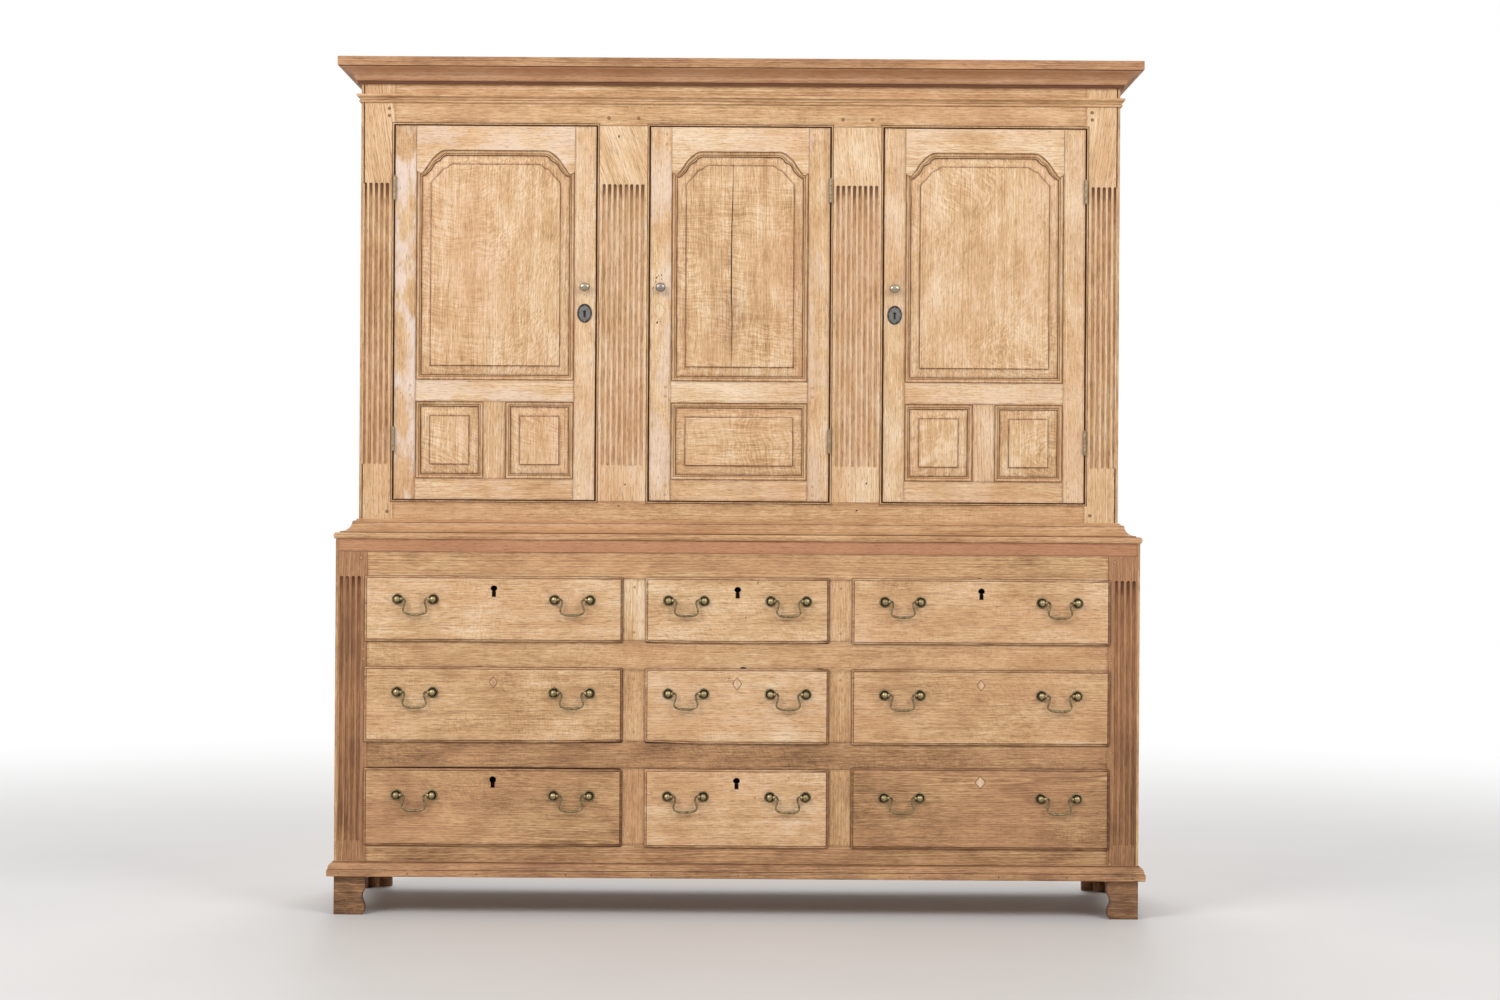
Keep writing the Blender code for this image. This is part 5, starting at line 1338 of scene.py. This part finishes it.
def rounded(left, right, bottom, top, radius):
    """A rectangle with round corners: a quarter circle about each corner's own centre."""
    centres = inset(rectangle(left, right, bottom, top), radius)
    return np.concatenate([arc(centre, (radius, radius), start, start + 90, 6)
                           for centre, start in zip(centres, (180, 270, 0, 90))])


def drawer_front(key, left, right, low, high, keyhole_at, top_lip, wear):
    """A lipped front: rings at the listed distances in from the lip's edge, sunk by the listed depths.

    Each ring is a rounded rectangle met by the same rays, and its corners sharpen as it runs further in. Wear
    lists places along the lower edge and how far it has risen there, and is least further up the front.
    """
    centre = np.array(keyhole_at or ((left + right) / 2, (low + high) / 2))
    lip = np.array((left - LIP, right + LIP, low - LIP, high + top_lip))
    insets = [inset(rectangle(*lip), distance * MM) for distance in np.unique(LIP_STEPS[:, 0])]
    angle = rays_to(centre, np.concatenate([rounded(*lip, ROUND), *insets]))
    worn = 0.25 * MM * wandering(len(angle), seed(key), 9)
    rings = []
    for distance, depth, _ in LIP_STEPS * (MM, MM, 1):
        ring = rounded(*(lip + np.array((1, -1, 1, -1)) * distance), max(ROUND - distance, 0.5 * MM))
        ring = seen_from(centre, ring, angle) - directions(angle) * (worn * (MM < distance < 9 * MM))[:, None]
        if wear and depth < 7 * MM:
            above = np.clip((ring[:, 1] - low + LIP) / WEAR_REACH, 0, 1)
            ring[:, 1] += np.interp(ring[:, 0] - (left + right) / 2, *wear) * (1 - above)
        rings.append(placed(ring, LIP_FACE + depth))
    # Painted shadow: the lip's dirt is raised by a third on its right side and lowered elsewhere, as the shade of
    # light from the upper left
    shaded_right_side = rings[4][:, 0] > right + LIP - ROUND
    dirt_and_shade = list(LIP_STEPS[:, 2:] * np.where(shaded_right_side, 1.35, 0.95))
    for extra, depth, amount in LOCK_STEPS if keyhole_at else ():
        rings.append(placed(radial(centre, angle, keyhole(angle) + extra * MM), LIP_FACE + depth * MM))
        dirt_and_shade.append(np.full(len(angle), amount))
    return skin(rings, dirt_and_shade)


print("a front has", len(LIP_STEPS) + len(LOCK_STEPS), "rings with its keyhole")

# %% Drawers
DRAWER_BACK, DRAWER_PLAY, DRAWER_SIDE = CHEST_FRONT + 0.500, 1.2 * MM, 10 * MM
SIDE_START, BOTTOM_START, HEADROOM, SIDE_TRIM = CHEST_FRONT + 20 * MM, CHEST_FRONT + 19 * MM, 2 * MM, 1 * MM
BOTTOM_RISE, BOTTOM_FACE, BACK_RISE, BACK_DROP = 1.0 * MM, 9.3 * MM, 10 * MM, 6 * MM
DRAWER_TONES = {"top": (0.73, 0.73, 0.71), "middle": (0.63, 0.79, 0.61), "bottom": (0.46, 0.73, 0.41)}
LOCK_HEIGHTS = {"top": 0.806, "bottom": 0.332}
TAILS, TAIL_LENGTH = 3, 12 * MM


def dovetailed(front, back, low, high):
    """A drawer side's outline, with tails that widen towards the front."""
    middles = low + (high - low) * ((np.arange(TAILS) + 0.5) / TAILS)
    half = (high - low) / TAILS * 0.30
    edge = [(back, low), (back, high), (front, high)]
    for middle in middles[::-1]:
        edge += [(front, middle + half * 0.72), (front - TAIL_LENGTH, middle + half),
                 (front - TAIL_LENGTH, middle - half), (front, middle - half * 0.72)]
    return np.array(edge + [(front, low)])


for row, (low, high) in ROWS.items():
    for (column, (left, right)), tone in zip(COLUMNS.items(), DRAWER_TONES[row]):
        node = f"drawer_{row}_{column}"
        middle, top = (left + right) / 2, high - HEADROOM
        filled = row == "middle" or (row, column) == ("bottom", "right")
        hole = None if filled else (middle, LOCK_HEIGHTS[row])
        front = drawer_front(node, left, right, low, high, hole, TOP_LIPS.get((row, column), LIP),
                             WORN_EDGES.get((row, column)))
        piece(f"{node}_front", front, node, BROWN_OAK, tone=tone,
              sawn="arched" if row == "bottom" and column != "middle" else "quartered")
        outer = (right - left) / 2 - DRAWER_PLAY
        inner = outer - DRAWER_SIDE
        tails = dovetailed(SIDE_START, DRAWER_BACK, low + SIDE_TRIM, top - SIDE_TRIM)
        for side, sign in SIDES.items():
            board(f"{node}_side_{side}", node + side, tails, middle + sign * (outer + GAP),
                  middle + sign * inner, node, INNER_OAK, facing="side", ease=0.3 * MM, reach=0.15, wave=0.0,
                  along="y", flat="x", tone=0.52)
        across = middle - inner, middle + inner
        board(f"{node}_back", node + "back", rectangle(*across, low + BACK_RISE, top - BACK_DROP), DRAWER_BACK,
              DRAWER_BACK - DRAWER_SIDE, node, INNER_OAK, reach=0.5, tone=0.50)
        deep = BOTTOM_START, DRAWER_BACK - 0.4 * MM
        board(f"{node}_bottom", node + "bottom", rectangle(*across, *deep), low + BOTTOM_FACE, low + BOTTOM_RISE,
              node, INNER_OAK, facing="top", reach=0.6, flat="z", tone=0.50, sawn="slant")
print("with the drawers", len(made), "pieces")

# %% [markdown]
# ## Swan-neck handles
# Each bail hangs from two turned posts with dished roses. It leaves each post through a small collar, dips in an
# S, drops almost straight and runs across to the other side, thickest where the fingers hold it.

# %% Handles
SPREADS = {"left": 0.195, "middle": 0.127, "right": 0.195}
HANDLE_RISES = {"bottom": 26.5 * MM, "middle": 30.5 * MM, "top": 23.5 * MM}
POST_HALF, POST_STAND, COLLAR = 44.4 * MM, 13 * MM, 34.8 * MM
POST_PROFILE = np.array([
    (0, -1), (13.4, -1), (14.0, -0.2), (14.0, 0.9), (13.3, 1.7), (12.2, 2.0), (11.2, 1.7), (10.3, 1.0),
    (8.6, 0.7), (6.6, 0.9), (5.2, 1.7), (3.9, 3.2), (3.5, 4.6), (3.6, 5.8), (4.6, 6.8), (6.4, 8.2), (7.6, 10.4),
    (8.0, 12.8), (7.6, 15.2), (6.2, 17.2), (3.6, 18.6), (0, 19.2),
]) * MM
POST_DIRT = [1, 1, 1, 0.9, 0.6, 0.35, 0.6, 0.9, 1, 1, 1, 1, 1, 1, 0.95, 0.9, 0.75, 0.65, 0.5, 0.4, 0.35, 0.35]
bail_half = [(43.6, 0), (40, 0), (36, 0.2), (31.5, 1.6), (27.8, 1.6), (25.0, -2.0), (24.8, -8), (26.4, -15),
             (28.7, -22), (28.6, -28.5), (25, -33.4), (18, -36.2), (9, -37.4)]
bail_line = through([(-x, 0, z) for x, z in bail_half] + [(0, 0, -37.6)]
                    + [(x, 0, z) for x, z in bail_half[::-1]], 4) * MM
from_middle = np.abs(bail_line[:, 0])
near_post = bail_line[:, 2] > -4 * MM
bail_radius = (2.55 + 1.5 * np.exp(-((from_middle - COLLAR) / (2.0 * MM)) ** 2) * near_post
               + 0.75 * np.exp(-(from_middle / (15 * MM)) ** 2) * ~near_post) * MM
bail_dirt = 0.60 - 0.30 * np.exp(-((from_middle - COLLAR) / (2.5 * MM)) ** 2) * near_post - 0.12 * ~near_post
for row, (low, high) in ROWS.items():
    height = (low + high) / 2 + HANDLE_RISES[row]
    for column, (left, right) in COLUMNS.items():
        for side, sign in SIDES.items():
            handle = f"{row}_{column}_{side}"
            middle = (left + right) / 2 + sign * SPREADS[column]
            for end, way in SIDES.items():
                post = turned(POST_PROFILE, (middle + way * POST_HALF, LIP_FACE, height), 28, POST_DIRT)
                piece(f"post_{handle}_{end}", post, f"drawer_{row}_{column}", BRASS, sharp=50.0)
            line = bail_line + (middle, LIP_FACE - POST_STAND, height)
            piece(f"bail_{handle}_rod", rod(line, bail_radius, 12, bail_dirt), f"bail_{handle}", BRASS, sharp=60.0)
print("with the handles", len(made), "pieces")

# %% [markdown]
# ## Pegs, patches and scars
# Oak pegs lock every mortice joint. They are riven rather than turned, so they are a little out of round, and
# they stand a hair proud where the wood round them has shrunk. Lozenges of oak fill the holes of lost locks.
# Knocks and old screw holes are black with wax. All of them are one small form: a flat piece let into a face,
# whose edge is a distance in each direction from its middle.


# %% Small pieces let into a face
def let_in(x, z, distance, face, proud=0.25, rim=1.0, middle=0.0):
    """Rings at shares of the distance to the edge: two inside the wood, one at the edge, two on the flat."""
    steps = ((0.97, 2.0, rim), (1.0, 0.2, rim), (1.0, 0.12 - proud, rim), (0.95, -proud, rim),
             (0.80, -proud, 0.4 * rim + 0.6 * middle), (0.35, -proud, middle))
    return skin([placed(radial(np.array((x, z)), circle(len(distance)), distance * share), face + level * MM)
                 for share, level, _ in steps], one_each([dirt_and_shade for *_, dirt_and_shade in steps]))


def peg_edge(radius, random):
    """A riven peg: a circle with five soft flats, radius x (1 + 0.05 x cosine of five times the angle)."""
    return radius * (1 + 0.05 * np.cos(5 * circle(20) + random.uniform(0, 6)))


def lozenge_edge(half_wide, half_high, power=1.12):
    """A lozenge: (|cosine| / half width) ^ power + (|sine| / half height) ^ power = 1 / distance ^ power."""
    angle = circle(32)
    sum_of_both = (np.abs(np.cos(angle)) / half_wide) ** power + (np.abs(np.sin(angle)) / half_high) ** power
    return sum_of_both ** (-1 / power)


def blot_edge(half_wide, half_high, lean, random):
    """A knock: an oval that leans, with an uneven edge."""
    edge = oval(circle(20) - math.radians(lean), half_wide, half_high)
    return edge * (1 + 0.22 * wandering(20, random, 4))


print("a lozenge of 20 x 30 mm:", lozenge_edge(10, 15).round(1)[:3])

# %% Pegs of the joints
# Place across, heights, radius in mm, the face, and the finish
PALE_PEGS = (
    (0.937, (0.8875,), 4.6, CHEST_FRONT, {}),
    (0.9292, (0.137, 0.390, 0.414, 0.637, 0.661), 3.4, CHEST_FRONT, {"rim": 0.7}),
    (0.880, (1.003, 1.994, 2.012), 4.2, PRESS_FRONT, {}),
    (0.2565, (0.200, 0.345, 0.458, 0.590, 0.706, 0.818), 3.2, CHEST_FRONT, {"proud": 0.1, "rim": 0.4}),
)
DARK_PEG_PLACES, DARK_PEG_HEIGHT, DARK_PEG, DOOR_PEG, DOOR_PEG_IN = (
    (-0.330, -0.256, 0.256, 0.330), 1.991, 4.4 * MM, 3.3 * MM, 13 * MM)
random = seed("pegs")
dark_pegs = [let_in(x, DARK_PEG_HEIGHT, peg_edge(DARK_PEG, random), PRESS_FRONT) for x in DARK_PEG_PLACES]
pale_pegs = [let_in(sign * x, z, peg_edge(radius * MM, random), face, **finish)
             for sign in (-1, 1) for x, heights, radius, face, finish in PALE_PEGS for z in heights]
piece("pegs_dark", together(dark_pegs), "upper_face_frame", BROWN_OAK, along="y", tone=0.30)
piece("pegs_pale", together(pale_pegs), "base_face_frame", BROWN_OAK, along="y", tone=0.42)
door_peg_heights = (door_low + 15 * MM, door_low + 37 * MM, lock_floor + 15 * MM, lock_floor + 38 * MM,
                    door_high - 18 * MM, door_high - 42 * MM)
for place, (left, right) in DOORWAYS.items():
    pegs = [let_in(x, z, peg_edge(DOOR_PEG, random), PRESS_FRONT, proud=0.15, rim=0.75)
            for x in (left + PLAY_SIDE + STILE - DOOR_PEG_IN, right - PLAY_SIDE - STILE + DOOR_PEG_IN)
            for z in door_peg_heights]
    piece(f"door_{place}_pegs", together(pegs), f"door_{place}", PALE_OAK, along="y", tone=0.68)
print("pegs:", len(dark_pegs) + len(pale_pegs), "in the frames")

# %% Patches over old locks
# Half width and half height in mm, and the height in the case
PATCHES = {("middle", "left"): (11, 15, 0.580), ("middle", "middle"): (12, 16, 0.580),
           ("middle", "right"): (11, 14, 0.580), ("bottom", "right"): (14, 16, 0.339)}
PATCH_PALER = {"middle": 0.08, "bottom": 0.30}
for (row, column), (wide, high, height) in PATCHES.items():
    shape = let_in(sum(COLUMNS[column]) / 2, height, lozenge_edge(wide * MM, high * MM), LIP_FACE, proud=0.12,
                   rim=0.9)
    tone = DRAWER_TONES[row][list(COLUMNS).index(column)] + PATCH_PALER[row]
    piece(f"patch_{row}_{column}", shape, f"drawer_{row}_{column}", BROWN_OAK, along="z", tone=tone, red=-0.3)
shape = let_in(-0.2015, 1.509, lozenge_edge(17 * MM, 24 * MM), PRESS_FRONT, proud=0.15, rim=0.45)
piece("patch_door_middle", shape, "door_middle", PALE_OAK, along="z", tone=0.90)
print("patches:", len(PATCHES) + 1)

# %% [markdown]
# Each knock is a row of five numbers: place across and up in metres, half width and half height in mm, and lean
# in degrees.

# %% Knocks and old holes
BASE_NAIL_FACE, BASE_NAIL_HEIGHT = CHEST_FRONT - 16.55 * MM, FOOT_TOP + 8 * MM
BASE_NAILS = (-0.987, -0.815, -0.644, -0.423, -0.210, 0.006, 0.228, 0.431, 0.652, 0.821, 0.984)
KNOCKS = {
    "door_middle": ((PRESS_FRONT, (
        (-0.2085, 1.592, 1.5, 4.0, -35), (-0.2030, 1.597, 1.2, 2.4, 20), (-0.1965, 1.599, 1.0, 4.2, 15),
        (-0.2105, 1.582, 1.2, 3.0, 0), (-0.1955, 1.588, 0.9, 2.6, 0), (-0.2165, 1.567, 1.0, 4.0, -35),
        (-0.2045, 1.553, 1.0, 2.4, 0), (-0.2065, 1.480, 2.0, 4.2, -30), (-0.1985, 1.483, 1.3, 1.6, 0))),),
    "door_left": ((PRESS_FRONT, ((-0.3890, 1.548, 0.8, 1.0, 0), (-0.8480, 1.300, 0.9, 1.4, 0))),),
    "drawer_middle_middle": ((LIP_FACE, (
        (-0.020, 0.5935, 2.2, 1.4, 0), (-0.093, 0.577, 0.9, 1.0, 0), (-0.113, 0.573, 0.8, 1.0, 0),
        (0.075, 0.566, 3.4, 1.4, 20))),),
    "drawer_top_middle": ((LIP_FACE, (
        (0.050, 0.832, 0.9, 7.0, -25), (-0.122, 0.789, 0.8, 1.0, 0), (0.020, 0.745, 2.2, 1.2, 10),
        (-0.170, 0.738, 2.0, 1.2, 0), (0.122, 0.789, 0.8, 1.0, 0))),),
    "drawer_bottom_middle": ((LIP_FACE, ((0.130, 0.348, 1.6, 1.6, 0), (0.045, 0.297, 3.0, 1.0, 0))),),
    "drawer_bottom_left": ((LIP_FACE, ((-0.530, 0.308, 0.9, 1.0, 0), (-0.470, 0.252, 2.4, 1.1, 0))),),
    "drawer_top_left": ((LIP_FACE, ((-0.800, 0.790, 0.8, 1.0, 0), (-0.420, 0.788, 0.8, 1.0, 0))),),
    "drawer_middle_left": ((LIP_FACE, ((-0.520, 0.530, 1.8, 0.9, 8), (-0.800, 0.561, 0.8, 1.0, 0))),),
    "frame": (
        (CHEST_FRONT, ((0.016, 0.6195, 8.5, 2.2, 0), (0.205, 0.6185, 14, 1.0, 0), (0.120, 0.3745, 60, 0.9, 0),
                       # The strip 580 mm long above the bottom left drawer is a painted shade line: the dark gap
                       # where its lip has broken away
                       (-0.600, 0.3682, 290, 1.3, 0), (-0.640, 0.6200, 12, 0.9, 0),
                       (0.600, 0.8455, 9, 0.9, 0))),
        (PRESS_FRONT, ((-0.3050, 1.945, 2.2, 3.6, 20), (0.296, 1.012, 3.0, 2.0, 0),
                       (-0.300, 1.020, 2.6, 1.8, 30), (0.320, 1.080, 2.0, 2.4, 0),
                       (-0.284, 1.074, 2.4, 2.0, 0))),
        (BASE_NAIL_FACE, [(x, BASE_NAIL_HEIGHT, 1.7, 1.7, 0) for x in BASE_NAILS])),
}
for name, faces in KNOCKS.items():
    node, key = ("base_face_frame", "frame knocks") if name == "frame" else (name, name + "knocks")
    random = seed(key)
    shapes = [let_in(x, z, blot_edge(wide * MM, high * MM, lean, random), face, proud=0.04, rim=1.6, middle=1.7)
              for face, knocks in faces for x, z, wide, high, lean in knocks]
    piece(f"{name}_knocks", together(shapes), node, BROWN_OAK, tone=0.1)
print("with pegs, patches and knocks", len(made), "pieces")

# %% [markdown]
# ## Camera and light
# The photograph was taken square on, from about a man's chest height, with the picture 1500 points wide.

# %% Camera
camera_data = bpy.data.cameras.new("camera")
camera_data.sensor_width = 36.0
camera_data.lens = 68.16
camera = bpy.data.objects.new("camera", camera_data)
camera.location = (0.029, -7.32, 1.037)
camera.rotation_euler = (math.radians(90), math.radians(-0.37), 0.0)
bpy.context.scene.collection.objects.link(camera)
bpy.context.scene.camera = camera
print("camera", round(CHEST_FRONT - camera.location.y, 2), "m from the drawers")

# %% [markdown]
# Two large soft lamps stand in front, above the camera, one on each side, and a third behind, with a weak fill
# from all round. The floor is pale, and the world is white for what the camera, a reflection or glass sees
# directly.

# %% Light and floor
LAMP_AIM, LAMP_SIZE = Vector((0, 0, 1.2)), 3.0
for name, place, power in (("lamp_left", (-3.6, -4.4, 4.2), 190), ("lamp_right", (3.6, -4.4, 4.2), 155),
                           ("lamp_back", (0.0, 4.5, 4.5), 150)):
    data = bpy.data.lights.new(name, "AREA")
    data.shape, data.size, data.energy = "SQUARE", LAMP_SIZE, power
    lamp = bpy.data.objects.new(name, data)
    lamp.location = place
    lamp.rotation_euler = (LAMP_AIM - Vector(place)).to_track_quat("-Z", "Y").to_euler()
    bpy.context.scene.collection.objects.link(lamp)

world = bpy.data.worlds.new("studio")
bpy.context.scene.world = world
world.use_nodes = True
tree = world.node_tree
tree.nodes.clear()
rays = add(tree, "LightPath").outputs
camera_ray, glossy_ray, glass_ray = (Value(rays[f"Is {kind} Ray"]) for kind in ("Camera", "Glossy", "Transmission"))
seen = camera_ray.step("MAXIMUM", glossy_ray.step("MAXIMUM", glass_ray))
sky = add(tree, "Background", {"Color": (1, 1, 1, 1), "Strength": ramp(seen, 0.0, 1.0, 0.42, 1.0)})
add(tree, "OutputWorld", {"Surface": sky.outputs[0]})

FLOOR_HALF = 40.0
floor_mesh = bpy.data.meshes.new("floor")
floor_corners = placed(rectangle(-FLOOR_HALF, FLOOR_HALF, -FLOOR_HALF, FLOOR_HALF), 0.0, "top")
floor_mesh.from_pydata(floor_corners.tolist(), [], [(0, 1, 2, 3)])
floor_material, tree = new_material("pale_floor")
place = object_place(tree)
away = Value(add(tree, "VectorMath", {0: place}, operation="LENGTH").outputs["Value"])
faded = ramp(away, 1.6, 5.5) * Value(add(tree, "LightPath").outputs["Is Camera Ray"])
grey = blended(noise(place, scale=1.3, detail=5.0), (0.66, 0.65, 0.64, 1.0), (0.74, 0.73, 0.72, 1.0))
matt = add(tree, "BsdfPrincipled", {"Base Color": grey, "Roughness": 0.6})
white = add(tree, "Emission", {"Color": (1, 1, 1, 1), "Strength": 1.0})
mixed = add(tree, "MixShader", {0: faded, 1: matt.outputs[0], 2: white.outputs[0]})
add(tree, "OutputMaterial", {"Surface": mixed.outputs[0]})
floor_mesh.materials.append(floor_material)
floor = bpy.data.objects.new("floor", floor_mesh)
bpy.context.scene.collection.objects.link(floor)
floor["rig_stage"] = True

bpy.context.scene.view_settings.view_transform = "Standard"
print("floor", 2 * FLOOR_HALF, "m across")

# %% [markdown]
# ## Size
# The size of the dressed model is measured.

# %% Size
low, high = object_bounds()
